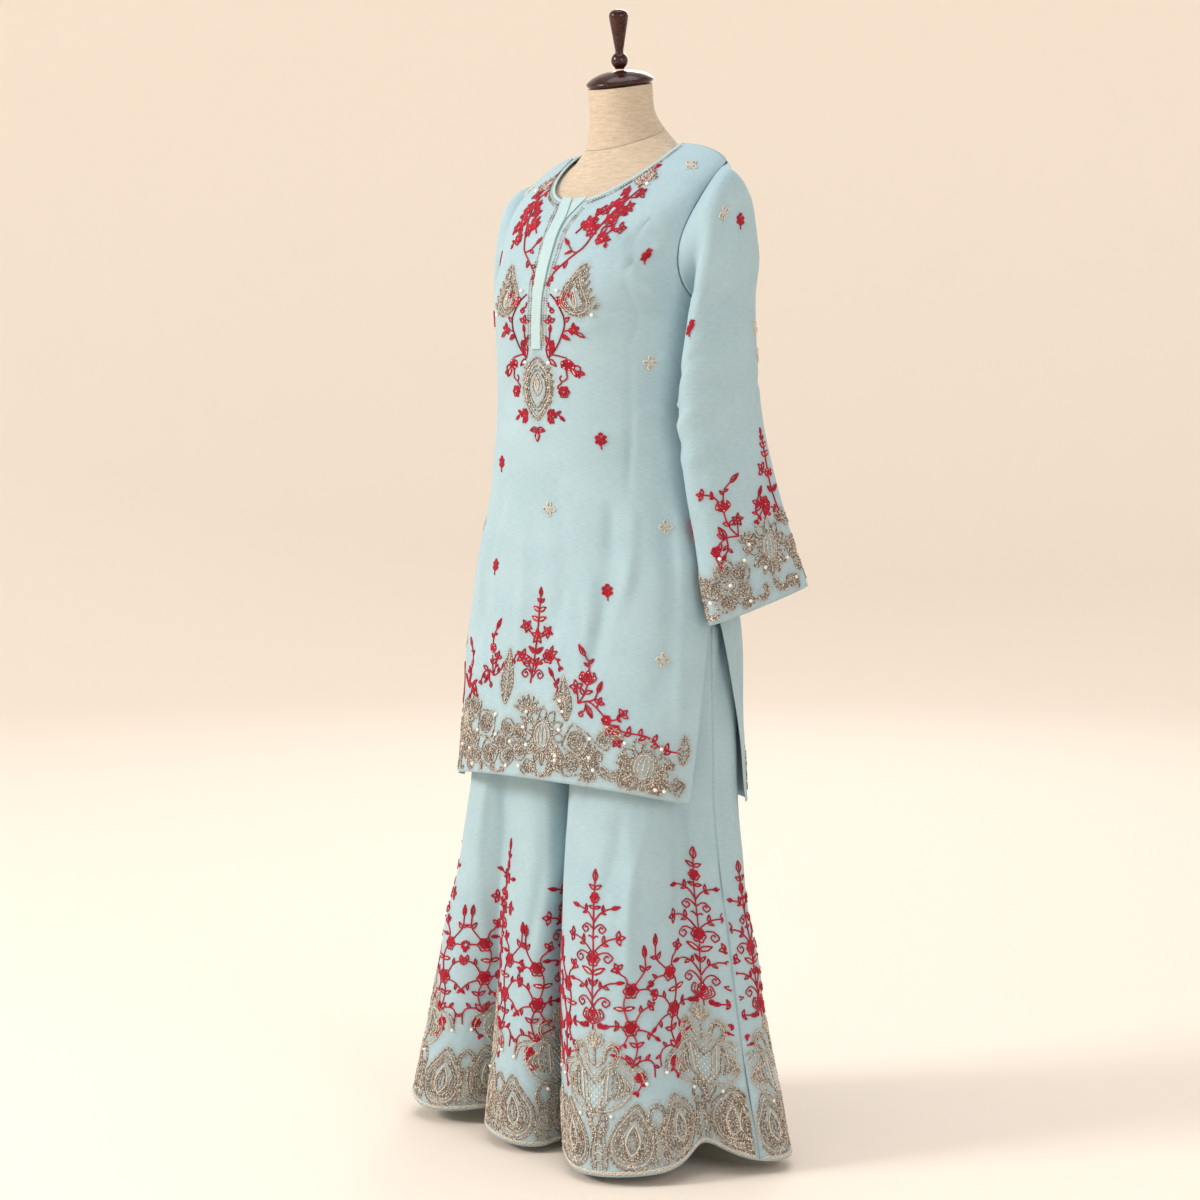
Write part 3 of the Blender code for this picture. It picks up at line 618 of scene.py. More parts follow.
# twisted thread: thin slanting ply lines and a little fuzz
def makeThreadGroup():
    group, given, out = newGroup(
        "twistedThread",
        [("Place", "NodeSocketVector", (0, 0, 0)), ("Light", "NodeSocketColor", (0.5, 0.02, 0.06, 1)),
         ("Dark", "NodeSocketColor", (0.25, 0.005, 0.02, 1))],
        [("Color", "NodeSocketColor"), ("Height", "NodeSocketFloat"), ("Roughness", "NodeSocketFloat")],
    )
    ply = addNoise(group, addStretch(group, given.outputs["Place"], (1400, 1400, 1900)), 1.0, 2.0, 0.6)
    tone = addNoise(group, given.outputs["Place"], 60.0, 2.0)
    both = addMath(group, "ADD", addMath(group, "MULTIPLY", ply, 0.6), addMath(group, "MULTIPLY", tone, 0.4))
    join(group, addMix(group, addRange(group, both, 0.36, 0.6), given.outputs["Dark"], given.outputs["Light"]),
         out.inputs["Color"])
    join(group, ply, out.inputs["Height"])
    join(group, addRange(group, tone, 0.3, 0.7, 0.5, 0.66), out.inputs["Roughness"])
    return group


def startMaterial(name, group, values, bump, distance):
    material = bpy.data.materials.new(name)
    material.use_nodes = True
    tree = material.node_tree
    shader = tree.nodes["Principled BSDF"]
    node = tree.nodes.new("ShaderNodeGroup")
    node.node_tree = group
    for socket, value in values.items():
        node.inputs[socket].default_value = value
    join(tree, node.outputs["Color"], shader.inputs["Base Color"])
    join(tree, node.outputs["Roughness"], shader.inputs["Roughness"])
    relief = tree.nodes.new("ShaderNodeBump")
    relief.inputs["Strength"].default_value = bump
    relief.inputs["Distance"].default_value = distance
    join(tree, node.outputs["Height"], relief.inputs["Height"])
    join(tree, relief.outputs["Normal"], shader.inputs["Normal"])
    return material, tree, shader, node


def flatMap(tree):
    node = tree.nodes.new("ShaderNodeUVMap")
    node.uv_map = "flat"
    return node.outputs["UV"]


def objectPlace(tree):
    return tree.nodes.new("ShaderNodeTexCoord").outputs["Object"]


crepeGroup, beadGroup, threadGroup = makeCrepeGroup(), makeBeadGroup(), makeThreadGroup()


def crepeMaterial(name, tint, shade, sheen=0.35):
    material, tree, shader, node = startMaterial(
        name, crepeGroup, {"Tint": (*tint, 1), "Shade": (*shade, 1)}, 0.35, 0.0006)
    join(tree, flatMap(tree), node.inputs["Flat"])
    # the beaded ground carries painted highlights on its bead tops and painted shade in its gaps
    ground = tree.nodes.new("ShaderNodeGroup")  # beaded ground under the gold work
    ground.node_tree = beadGroup
    for socket, value in (("Size", 380.0), ("Bead", (0.60, 0.52, 0.44, 1)), ("ShadedGap", (0.24, 0.19, 0.15, 1))):
        ground.inputs[socket].default_value = value
    join(tree, objectPlace(tree), ground.inputs["Place"])
    mask = tree.nodes.new("ShaderNodeAttribute")
    mask.attribute_name = "stitched"
    join(tree, addMix(tree, mask.outputs["Fac"], node.outputs["Color"], ground.outputs["Color"]),
         shader.inputs["Base Color"])
    relief = shader.inputs["Normal"].links[0].from_node
    raised = addMath(tree, "MULTIPLY", ground.outputs["Height"], addMath(tree, "MULTIPLY", mask.outputs["Fac"], 1.6))
    join(tree, addMath(tree, "ADD", node.outputs["Height"], raised), relief.inputs["Height"])
    shader.inputs["Sheen Weight"].default_value = sheen
    shader.inputs["Sheen Roughness"].default_value = 0.45
    shader.inputs["Sheen Tint"].default_value = (0.85, 0.95, 1.0, 1)
    shader.inputs["Specular IOR Level"].default_value = 0.3
    return material


# bead is the colour of the bead tops with a painted highlight; gap is painted shade between the beads
def beadMaterial(name, bead, shadedGap, size, metal):
    material, tree, shader, node = startMaterial(
        name, beadGroup, {"Size": size, "Bead": (*bead, 1), "ShadedGap": (*shadedGap, 1)}, 0.9, 0.0012)
    join(tree, objectPlace(tree), node.inputs["Place"])
    shader.inputs["Metallic"].default_value = metal
    return material


def threadMaterial(name, light, dark):
    material, tree, shader, node = startMaterial(
        name, threadGroup, {"Light": (*light, 1), "Dark": (*dark, 1)}, 0.5, 0.0005)
    join(tree, objectPlace(tree), node.inputs["Place"])
    shader.inputs["Sheen Weight"].default_value = 0.08
    shader.inputs["Specular IOR Level"].default_value = 0.3
    return material


crepe = crepeMaterial("powderBlueCrepe", (0.410, 0.560, 0.620), (0.315, 0.460, 0.525), 0.12)
edging = crepeMaterial("powderBlueEdging", (0.47, 0.62, 0.64), (0.39, 0.54, 0.57), 0.1)
crimson = threadMaterial("crimsonThread", (0.52, 0.003, 0.030), (0.25, 0.0, 0.010))
# bead colours: the gold, champagne and white of the work lightened with a painted highlight; gap colours: painted shade
# between the beads
goldWire = beadMaterial("antiqueGoldBeads", (1.0, 0.93, 0.83), (0.20, 0.145, 0.105), 430.0, 0.12)
paleWire = beadMaterial("champagneBeads", (1.0, 0.96, 0.88), (0.42, 0.35, 0.27), 430.0, 0.12)
pearl = threadMaterial("pearlBeads", (0.93, 0.90, 0.84), (0.80, 0.76, 0.68))
pearl.node_tree.nodes["Principled BSDF"].inputs["Coat Weight"].default_value = 0.7
brownBeads = threadMaterial("brownBeads", (0.34, 0.22, 0.15), (0.18, 0.10, 0.065))
whiteCord = beadMaterial("whiteBeads", (0.95, 0.92, 0.86), (0.62, 0.56, 0.47), 430.0, 0.0)

# the garment

print("cloth panels")


def spacedRings(first, last, rows, quarter=0.6):  # rings of the kameez, evenly spaced down a panel
    ats = np.linspace(first, last, 300)
    line = np.array([ringPoint(kameezRings, at, quarter) for at in ats])
    run = np.concatenate([[0], np.cumsum(np.linalg.norm(np.diff(line, axis=0), axis=1))])
    return np.interp(np.linspace(0, run[-1], rows + 1), run, ats)


kameez = {
    "bindingHeight": 0.005, "ringStep": 0.052, "frontColumns": 120, "backColumns": 84, "frontRows": 150,
    "backRows": 110, "slitTop": 0.0100, "slitBottom": 0.045,
}
firstRing = (kameez["bindingHeight"] + 2 * seamGap) / kameez["ringStep"]

# creases in metres on the flat cloth: from, to, half width and height (troughs are negative)
frontCreases = (
    (0.148, 0.850, 0.138, 0.788, 0.0035, -0.0014), (0.138, 0.788, 0.129, 0.740, 0.0035, -0.0017),
    (-0.148, 0.850, -0.137, 0.785, 0.0035, -0.0013), (-0.137, 0.785, -0.128, 0.742, 0.0035, -0.0015),
    (0.130, 0.729, 0.136, 0.600, 0.0040, -0.0015), (0.136, 0.600, 0.133, 0.400, 0.0045, -0.0016),
    (-0.130, 0.729, -0.135, 0.590, 0.0040, -0.0014), (-0.135, 0.590, -0.132, 0.410, 0.0045, -0.0015),
    (0.140, 0.757, 0.218, 0.758, 0.0080, -0.0028), (0.136, 0.768, 0.190, 0.800, 0.0060, 0.0018),
    (0.132, 0.744, 0.196, 0.716, 0.0070, 0.0020), (0.150, 0.730, 0.230, 0.730, 0.0070, -0.0018),
    (-0.140, 0.757, -0.214, 0.762, 0.0080, -0.0026), (-0.132, 0.742, -0.190, 0.712, 0.0070, 0.0018),
    (0.095, 0.800, 0.128, 0.752, 0.0050, 0.0013), (0.104, 0.812, 0.132, 0.772, 0.0045, -0.0013),
    (0.060, 0.520, 0.140, 0.506, 0.0060, -0.0014), (0.020, 0.486, 0.128, 0.470, 0.0070, 0.0014),
    (-0.120, 0.512, -0.030, 0.500, 0.0060, -0.0013), (0.142, 0.512, 0.205, 0.536, 0.0060, 0.0016),
    (0.141, 0.388, 0.129, 0.233, 0.0090, 0.0032), (0.112, 0.400, 0.090, 0.150, 0.0120, -0.0042),
    (0.072, 0.330, 0.050, 0.100, 0.0130, 0.0034), (0.176, 0.420, 0.186, 0.120, 0.0150, -0.0044),
    (0.205, 0.400, 0.226, 0.090, 0.0110, 0.0034), (0.020, 0.420, 0.010, 0.160, 0.0120, -0.0026),
    (-0.030, 0.360, -0.044, 0.060, 0.0120, 0.0034), (-0.072, 0.420, -0.084, 0.080, 0.0140, -0.0042),
    (-0.120, 0.390, -0.138, 0.120, 0.0130, 0.0036), (-0.165, 0.430, -0.182, 0.070, 0.0140, -0.0040),
    (-0.200, 0.380, -0.216, 0.120, 0.0110, 0.0030), (0.030, 0.610, 0.110, 0.640, 0.0090, 0.0012),
    (0.150, 0.640, 0.214, 0.668, 0.0080, -0.0018), (0.150, 0.590, 0.210, 0.604, 0.0070, 0.0016),
    (0.120, 0.184, 0.200, 0.168, 0.0050, -0.0010), (-0.020, 0.260, 0.070, 0.246, 0.0050, -0.0009),
)
backCreases = (
    (0.060, 0.700, 0.064, 0.420, 0.0045, -0.0015), (-0.060, 0.700, -0.064, 0.420, 0.0045, -0.0015),
    (0.030, 0.420, 0.040, 0.080, 0.0130, -0.0042), (-0.034, 0.440, -0.042, 0.100, 0.0130, 0.0036),
    (0.090, 0.400, 0.104, 0.070, 0.0140, 0.0040), (-0.096, 0.420, -0.108, 0.080, 0.0140, -0.0042),
    (0.150, 0.420, 0.166, 0.090, 0.0140, -0.0042), (-0.156, 0.400, -0.170, 0.070, 0.0140, 0.0040),
    (0.190, 0.440, 0.206, 0.120, 0.0110, 0.0030), (-0.196, 0.420, -0.208, 0.100, 0.0110, -0.0032),
    (0.080, 0.560, 0.180, 0.590, 0.0070, -0.0016), (-0.180, 0.585, -0.070, 0.555, 0.0070, -0.0017),
    (0.070, 0.530, 0.170, 0.545, 0.0070, 0.0015), (0.040, 0.800, 0.150, 0.760, 0.0100, -0.0020),
    (-0.150, 0.770, -0.040, 0.810, 0.0100, -0.0018), (0.060, 0.740, 0.190, 0.690, 0.0100, 0.0018),
)
sleeveCreases = (
    (-0.050, 0.425, 0.030, 0.436, 0.0050, -0.0020), (-0.110, 0.300, -0.020, 0.346, 0.0060, 0.0026),
    (-0.115, 0.284, -0.010, 0.326, 0.0055, -0.0028), (-0.110, 0.262, 0.000, 0.304, 0.0060, 0.0026),
    (-0.115, 0.246, -0.030, 0.284, 0.0050, -0.0024), (-0.110, 0.228, 0.010, 0.256, 0.0060, 0.0020),
    (-0.105, 0.330, -0.050, 0.366, 0.0060, -0.0022), (-0.060, 0.380, 0.020, 0.394, 0.0080, 0.0018),
    (0.040, 0.310, 0.120, 0.282, 0.0070, -0.0024), (0.050, 0.280, 0.130, 0.262, 0.0070, 0.0022),
    (-0.020, 0.560, -0.044, 0.420, 0.0120, -0.0026), (0.030, 0.560, 0.050, 0.400, 0.0130, 0.0024),
    (-0.060, 0.220, -0.072, 0.040, 0.0120, -0.0026), (0.000, 0.230, 0.006, 0.050, 0.0130, 0.0026),
    (0.060, 0.240, 0.082, 0.040, 0.0120, -0.0026), (-0.150, 0.330, -0.140, 0.060, 0.0120, 0.0026),
    (0.130, 0.260, 0.140, 0.050, 0.0120, 0.0024), (-0.120, 0.470, -0.070, 0.440, 0.0070, -0.0022),
)
trouserCreases = (
    (-0.020, 0.930, 0.010, 0.330, 0.0110, -0.0040), (0.045, 0.900, 0.075, 0.380, 0.0130, 0.0040),
    (0.095, 0.860, 0.140, 0.300, 0.0130, -0.0044), (-0.070, 0.880, -0.095, 0.330, 0.0130, 0.0040),
    (0.120, 0.820, 0.188, 0.300, 0.0110, 0.0034), (-0.115, 0.800, -0.170, 0.260, 0.0120, -0.0040),
    (0.020, 0.620, 0.036, 0.180, 0.0090, 0.0026), (-0.045, 0.560, -0.060, 0.160, 0.0090, -0.0026),
    (0.085, 0.500, 0.110, 0.140, 0.0090, 0.0026), (-0.060, 0.640, 0.060, 0.620, 0.0060, -0.0012),
    (-0.040, 0.510, 0.090, 0.496, 0.0060, -0.0011), (0.010, 0.740, 0.130, 0.726, 0.0060, -0.0012),
)


def turnedOver(creases, share=1.0):  # the same creases on the other hand, a little weaker or stronger
    return tuple((-a, b, -c, d, wide, share * high) for a, b, c, d, wide, high in creases)


def kameezPanel(name, side, middle, columns, rows, creases, holes=None):
    rings = spacedRings(firstRing, cut["hemRing"], rows)[::-1]

    def place(u, v):
        at = rings[int(round(v * rows))]
        return ringPoint(kameezRings, at, middle + (2 * u - 1) * edgeAngle(at, side))

    return clothPanel(name, columns, rows, place, creases, crepe, holes=holes)


def slitHole(s, h):
    down = frontTop - h
    return down < kameez["slitBottom"] and abs(s) < kameez["slitTop"] * (1 - down / kameez["slitBottom"])


def centreRun(first, last):  # length down the centre front
    line = np.array([ringPoint(kameezRings, at, 0.0) for at in np.linspace(first, last, 400)])
    return float(np.linalg.norm(np.diff(line, axis=0), axis=1).sum())


frontTop = centreRun(firstRing, cut["hemRing"])
front = kameezPanel("kameezFront", "Front", 0.0, kameez["frontColumns"], kameez["frontRows"], frontCreases,
                    slitHole)
back = kameezPanel("kameezBack", "Back", math.pi, kameez["backColumns"], kameez["backRows"], backCreases)


def sleeve(name, side, table, creases):
    columns, rows = 56, 104

    def place(u, v):  # the middle of the panel is the outer side of the arm, its two edges the inner
        share = u + 0.5 if side < 0 else 0.5 - u
        return sleevePoint(side, table, 8.0 * (1 - v) ** 1.05, share)

    return clothPanel(name, columns, rows, place, creases, crepe, closed=True)


sleeveLeft = sleeve("sleeveLeft", 1, leftSleeve, sleeveCreases)
sleeveRight = sleeve("sleeveRight", -1, rightSleeve, turnedOver(sleeveCreases, 0.9))


def trouserPanel(name, side, isFront, folds, creases):
    columns, rows = 72, 120
    seam = 0.5 * seamGap / 0.12
    zs = np.linspace(leg["hem"], leg["waist"] - 0.0005, rows + 1)
    levels = [legRow(z) for z in zs]

    def place(u, v):
        i = int(round(v * rows))
        inner, outer = seamAngle(zs[i], levels[i]) + seam, math.pi / 2 - seam
        along = u if side > 0 else 1 - u
        along = along if isFront else 1 - along
        angle = inner + (outer - inner) * along
        return legPoint(side, folds, zs[i], angle if isFront else math.pi - angle, levels[i])

    return clothPanel(name, columns, rows, place, creases, crepe)


trousers = {
    "trouserLeftFront": trouserPanel("trouserLeftFront", 1, True, leftFolds, trouserCreases),
    "trouserLeftBack": trouserPanel("trouserLeftBack", 1, False, leftFolds, turnedOver(trouserCreases, 0.9)),
    "trouserRightFront": trouserPanel("trouserRightFront", -1, True, rightFolds, turnedOver(trouserCreases)),
    "trouserRightBack": trouserPanel("trouserRightBack", -1, False, rightFolds, trouserCreases),
}
for panel, nodes in (
    (front, ("kameez_front",)), (back, ("kameez_back",)), (sleeveLeft, ("sleeve_left",)),
    (sleeveRight, ("sleeve_right",)), (trousers["trouserLeftFront"], ("trouser_left_front",)),
    (trousers["trouserLeftBack"], ("trouser_left_back",)),
    (trousers["trouserRightFront"], ("trouser_right_front",)),
    (trousers["trouserRightBack"], ("trouser_right_back",)),
):
    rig.slot(panel["object"], "crepe")
    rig.replaces(panel["object"], *nodes)

# neck binding, placket bands and waistband

print("edges")


def offFront(at, angle, lift):  # a point of the kameez moved out from its face
    here = ringPoint(kameezRings, at, angle)
    step = 0.01
    across = ringPoint(kameezRings, at, angle + step) - ringPoint(kameezRings, at, angle - step)
    up = ringPoint(kameezRings, max(at - step, 0), angle) - ringPoint(kameezRings, at + step, angle)
    return here + across.cross(up).normalized() * lift


def gridSolid(name, columns, rows, place, wall, material, slot, replaced, rounded=0.0, closed=False):
    made = bmesh.new()
    bmesh.ops.create_grid(made, x_segments=columns, y_segments=rows, size=0.5)
    flat = made.loops.layers.uv.new("flat")
    points = np.array([[place(j / columns, i / rows) for j in range(columns + 1)] for i in range(rows + 1)])
    s, h = runs(points, 1), runs(points, 0)
    for face in made.faces:
        for loop in face.loops:
            i, j = round((loop.vert.co.y + 0.5) * rows), round((loop.vert.co.x + 0.5) * columns)
            loop[flat].uv = (s[i, j], h[i, j])
    for vert in made.verts:
        vert.co = points[round((vert.co.y + 0.5) * rows), round((vert.co.x + 0.5) * columns)]
    if closed:
        bmesh.ops.remove_doubles(made, verts=made.verts, dist=0.00001)
    thing = finished(name, made, material, slot, replaced)
    shell = thing.modifiers.new("wall", "SOLIDIFY")
    shell.thickness = wall
    shell.offset = 1
    if rounded:
        edge = thing.modifiers.new("edge", "BEVEL")
        edge.width = rounded
        edge.segments = 2
    return thing


neck = {
    "bindingHeight": 0.005, "binding": 0.002, "inset": 0.0004, "spread": 0.0115, "bandWidth": 0.019,
    "band": 0.001, "lift": 0.0018, "stand": 0.004, "opening": 0.040, "endRing": 5.75,
}


def ringBelow(length):  # the ring this far below the neck edge, measured down the centre front
    ats = np.linspace(0, 6, 600)
    line = np.array([ringPoint(kameezRings, at, 0.0) for at in ats])
    run = np.concatenate([[0], np.cumsum(np.linalg.norm(np.diff(line, axis=0), axis=1))])
    return float(np.interp(length, run, ats))


def bandShift(at, side):
    return side * neck["spread"] * max(1 - at / ringBelow(neck["opening"]), 0.0) ** 1.2


def placketBand(name, side, lift, replaced):
    endRun = centreRun(0, neck["endRing"])
    rows = 90
    rings = [ringBelow(run) for run in np.linspace(0, endRun, rows + 1)]
    rings = [-0.05] + rings

    def place(u, v):
        ring = rings[int(round((1 - v) * (len(rings) - 1)))]
        at = max(ring, 0.0)
        x = bandShift(at, side) + (u - 0.5) * neck["bandWidth"] * (1 if at < 3 else 1 - 0.12 * min(at - 3, 1))
        angle = math.asin(x / tableRow(ringColumns, kameezRings, at)["halfWidth"])
        here = offFront(at, angle, lift)
        if ring < 0:
            below = offFront(0.12, angle, lift)
            here = here + (here - below).normalized() * neck["stand"]
        return here

    return gridSolid(name, 6, len(rings) - 1, place, neck["band"], edging, "edging", (replaced,), 0.0004)


bandUnder = placketBand("placketUnder", 1, neck["lift"], "placket_under")
bandOver = placketBand("placketOver", -1, neck["lift"] + neck["band"] + 0.0006, "placket_over")


def bindingPlace(u, v):
    start = (neck["spread"] + neck["bandWidth"] / 2 + neck["band"]) / kameezRings[0][0]
    angle = start + (tau - 2 * start) * u
    return offFront(neck["bindingHeight"] / kameez["ringStep"] * (1 - v), angle, -neck["inset"])


binding = gridSolid("neckBinding", 200, 3, bindingPlace, neck["binding"], edging, "edging", ("neck_binding",),
                    0.0006)


def waistPlace(u, v):
    angle = tau * u
    row = legRows[0]
    deep = row[4] if math.cos(angle) > 0 else row[5]
    ripple = 0.0009 * math.sin(58 * angle) * (0.4 + 0.6 * math.sin(math.pi * v))
    return Vector(((row[1] + ripple) * math.sin(angle), -(deep + ripple) * math.cos(angle), 1.0443 + 0.030 * v))


waistband = gridSolid("trouserWaist", 232, 8, waistPlace, 0.0024, crepe, "crepe", ("waistband",), closed=True)

# dress form and stand

print("form and stand")


def linenGroup():
    group, given, out = newGroup(
        "linenWeave",
        [("Place", "NodeSocketVector", (0, 0, 0)), ("Light", "NodeSocketColor", (0.6, 0.5, 0.38, 1)),
         ("Dark", "NodeSocketColor", (0.4, 0.32, 0.23, 1))],
        [("Color", "NodeSocketColor"), ("Height", "NodeSocketFloat"), ("Roughness", "NodeSocketFloat")],
    )
    weft = addNoise(group, addStretch(group, given.outputs["Place"], (260, 260, 2600)), 1.0, 2.0)
    warp = addNoise(group, addStretch(group, given.outputs["Place"], (1900, 1900, 160)), 1.0, 2.0)
    slubs = addNoise(group, addStretch(group, given.outputs["Place"], (70, 70, 420)), 1.0, 2.0)
    weave = addMath(group, "ADD", addMath(group, "MULTIPLY", weft, 0.5), addMath(group, "MULTIPLY", warp, 0.5))
    tone = addMath(group, "ADD", addMath(group, "MULTIPLY", weave, 0.6), addMath(group, "MULTIPLY", slubs, 0.4))
    join(group, addMix(group, addRange(group, tone, 0.36, 0.6), given.outputs["Dark"], given.outputs["Light"]),
         out.inputs["Color"])
    join(group, weave, out.inputs["Height"])
    join(group, addRange(group, slubs, 0.3, 0.7, 0.9, 0.8), out.inputs["Roughness"])
    return group


def lacquerGroup():
    group, given, out = newGroup(
        "lacqueredGrain",
        [("Place", "NodeSocketVector", (0, 0, 0)), ("Light", "NodeSocketColor", (0.055, 0.009, 0.006, 1)),
         ("Dark", "NodeSocketColor", (0.014, 0.003, 0.002, 1))],
        [("Color", "NodeSocketColor"), ("Height", "NodeSocketFloat"), ("Roughness", "NodeSocketFloat")],
    )
    grain = addNoise(group, addStretch(group, given.outputs["Place"], (90, 90, 420)), 1.0, 3.0, 0.6)
    smooth = addNoise(group, given.outputs["Place"], 40.0, 2.0)
    join(group, addMix(group, addRange(group, grain, 0.32, 0.66), given.outputs["Dark"], given.outputs["Light"]),
         out.inputs["Color"])
    join(group, smooth, out.inputs["Height"])
    join(group, addRange(group, smooth, 0.3, 0.7, 0.16, 0.26), out.inputs["Roughness"])
    return group


def steelGroup():
    group, given, out = newGroup(
        "brushedSteel",
        [("Place", "NodeSocketVector", (0, 0, 0)), ("Light", "NodeSocketColor", (0.6, 0.6, 0.62, 1)),
         ("Dark", "NodeSocketColor", (0.45, 0.45, 0.47, 1))],
        [("Color", "NodeSocketColor"), ("Height", "NodeSocketFloat"), ("Roughness", "NodeSocketFloat")],
    )
    brush = addNoise(group, addStretch(group, given.outputs["Place"], (900, 900, 30)), 1.0, 2.0)
    join(group, addMix(group, brush, given.outputs["Dark"], given.outputs["Light"]), out.inputs["Color"])
    join(group, brush, out.inputs["Height"])
    join(group, addRange(group, brush, 0.3, 0.7, 0.25, 0.42), out.inputs["Roughness"])
    return group


linen, tree, shader, node = startMaterial(
    "beigeLinen", linenGroup(), {"Light": (0.62, 0.51, 0.39, 1), "Dark": (0.45, 0.36, 0.26, 1)}, 0.3, 0.0006)
join(tree, objectPlace(tree), node.inputs["Place"])
shader.inputs["Sheen Weight"].default_value = 0.15
lacquer, tree, shader, node = startMaterial("cherryLacquer", lacquerGroup(), {}, 0.05, 0.0005)
join(tree, objectPlace(tree), node.inputs["Place"])
shader.inputs["Coat Weight"].default_value = 0.25
shader.inputs["Specular IOR Level"].default_value = 0.3
shader.inputs["Coat Roughness"].default_value = 0.06
steel, tree, shader, node = startMaterial("brushedSteel", steelGroup(), {}, 0.1, 0.0002)
join(tree, objectPlace(tree), node.inputs["Place"])
shader.inputs["Metallic"].default_value = 1.0


def lofted(name, table, first, last, rows, lower, material, replaced):  # closed tube with flat ends
    columns = 120
    made = bmesh.new()
    bmesh.ops.create_grid(made, x_segments=columns, y_segments=rows, size=0.5)
    for vert in made.verts:
        u, v = vert.co.x + 0.5, vert.co.y + 0.5
        point = ringPoint(table, first + (last - first) * (1 - v), tau * u)
        vert.co = point + Vector((0, 0, lower))
    bmesh.ops.remove_doubles(made, verts=made.verts, dist=0.00001)
    bmesh.ops.holes_fill(made, edges=[e for e in made.edges if e.is_boundary], sides=0)
    bmesh.ops.recalc_face_normals(made, faces=made.faces)
    thing = finished(name, made, material, "linen", (replaced,))
    thing.data.set_sharp_from_angle(angle=math.radians(50))
    return thing


torso = lofted("formTorso", torsoRings, 0, len(torsoRings) - 1, 90, 0, linen, "form_torso")
formNeck = lofted("formNeck", neckRings, 0, len(neckRings) - 1, 40, 0, linen, "form_neck")

turned = {
    "centre": (0.0, 0.0195, 1.5075), "capLean": 10.0, "finialLean": 2.0, "steps": 96,
    "cap": ((0.0, 0.0175), (0.012, 0.0172), (0.024, 0.0152), (0.036, 0.0112), (0.0445, 0.0060),
            (0.0472, 0.0030), (0.0476, 0.0010), (0.0460, -0.0015), (0.0430, -0.0028), (0.0, -0.0028)),
    "finialTop": ((0.0, 0.1020), (0.0060, 0.1014), (0.0110, 0.0990), (0.0132, 0.0950), (0.0134, 0.0900),
                  (0.0100, 0.0700), (0.0070, 0.0520), (0.0056, 0.0440), (0.0062, 0.0410)),
    "ball": (0.0310, 0.0118), "finialFoot": ((0.0060, 0.0190), (0.0, 0.0190)),
}


def smoothProfile(points, each):
    table = [tuple(p) for p in points]
    steps = [i / each for i in range(each * (len(table) - 1) + 1)]
    rows = [findRow(("r", "z"), table, at) for at in steps]
    return [(max(row["r"], 0.0), row["z"]) for row in rows]


def spun(name, profile, lean, replaced):
    made = bmesh.new()
    verts = [made.verts.new((r, 0, z)) for r, z in profile]
    edges = [made.edges.new(pair) for pair in zip(verts, verts[1:])]
    bmesh.ops.spin(made, geom=verts + edges, axis=(0, 0, 1), cent=(0, 0, 0), angle=tau, steps=turned["steps"],
                   use_merge=True)
    bmesh.ops.remove_doubles(made, verts=made.verts, dist=0.00002)
    bmesh.ops.recalc_face_normals(made, faces=made.faces)
    angle = math.radians(lean)
    for vert in made.verts:
        x, y, z = vert.co
        vert.co = Vector((x, y * math.cos(angle) - z * math.sin(angle), z * math.cos(angle) + y * math.sin(angle)))
        vert.co += Vector(turned["centre"])
    thing = finished(name, made, lacquer, "lacquered_wood", (replaced,))
    thing.data.set_sharp_from_angle(angle=math.radians(40))
    return thing


cap = spun("neckCap", smoothProfile(turned["cap"][:-1], 4) + [turned["cap"][-1]], turned["capLean"], "neck_cap")
ball = [(turned["ball"][1] * math.cos(a), turned["ball"][0] + turned["ball"][1] * math.sin(a))
        for a in (math.radians(52 - 104 * i / 16) for i in range(17))]
finial = spun("finial", smoothProfile(turned["finialTop"], 4) + ball + list(turned["finialFoot"]),
              turned["finialLean"], "finial")
for name in ("base_disc", "pole", "pole_plate"):
    carried = frame["nodes"][name]
    carried.data.materials.clear()
    carried.data.materials.append(steel)
    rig.slot(carried, "steel")

# embroidery: motifs drawn flat in millimetres, across and up, as (thread, points) strokes

print("embroidery")
stitch = {
    "turn": 0.50, "reach": 6.6, "lift": 0.0007, "edge": 0.003,
    "thick": {"crimson": 0.00118, "gold": 0.00128, "pale": 0.00132, "white": 0.00130},
    "beads": {"pearl": 0.0027, "seed": 0.0013, "grain": 0.0011, "brownBead": 0.0012},
}


def curve(points, closed=False):  # smooth line through given points, denser where it turns
    p = np.array(points, float)
    if len(p) > 2:
        if closed:
            p = np.vstack([p[-1:], p, p[:2]])
        else:
            p = np.vstack([2 * p[0] - p[1], p, 2 * p[-1] - p[-2]])
        t = np.linspace(0, 1, 10, endpoint=False)[:, None]
        parts = [0.5 * (2 * b + (c - a) * t + (2 * a - 5 * b + 4 * c - d) * t**2 + (3 * b - a - 3 * c + d) * t**3)
                 for a, b, c, d in zip(p, p[1:], p[2:], p[3:])]
        p = np.vstack(parts + [p[-2:-1]])
    else:
        p = p[0] + (p[1] - p[0]) * np.linspace(0, 1, 12)[:, None]
    kept, turned, run = [p[0]], 0.0, 0.0
    for before, here, after in zip(p, p[1:], p[2:]):
        first, second = here - before, after - here
        cross = first[0] * second[1] - first[1] * second[0]
        turned += abs(math.atan2(cross, float(first @ second)))
        run += float(np.hypot(*first))
        if turned > stitch["turn"] or run > stitch["reach"]:
            kept.append(here)
            turned, run = 0.0, 0.0
    return np.array(kept + [p[-1]])


def moved(motif, x=0.0, y=0.0, turn=0.0, size=1.0, flip=False):
    a = math.radians(turn)
    matrix = np.array(((math.cos(a), -math.sin(a)), (math.sin(a), math.cos(a)))) * size
    if flip:
        matrix = matrix @ np.diag((-1.0, 1.0))
    return [(kind, p @ matrix.T + (x, y)) for kind, p in motif]


def dots(kind, *places):
    return [(kind, np.array(places, float))]


def loop(kind, points):
    return [(kind, curve(points, closed=True))]


def line(kind, *points):
    return [(kind, curve(points))]


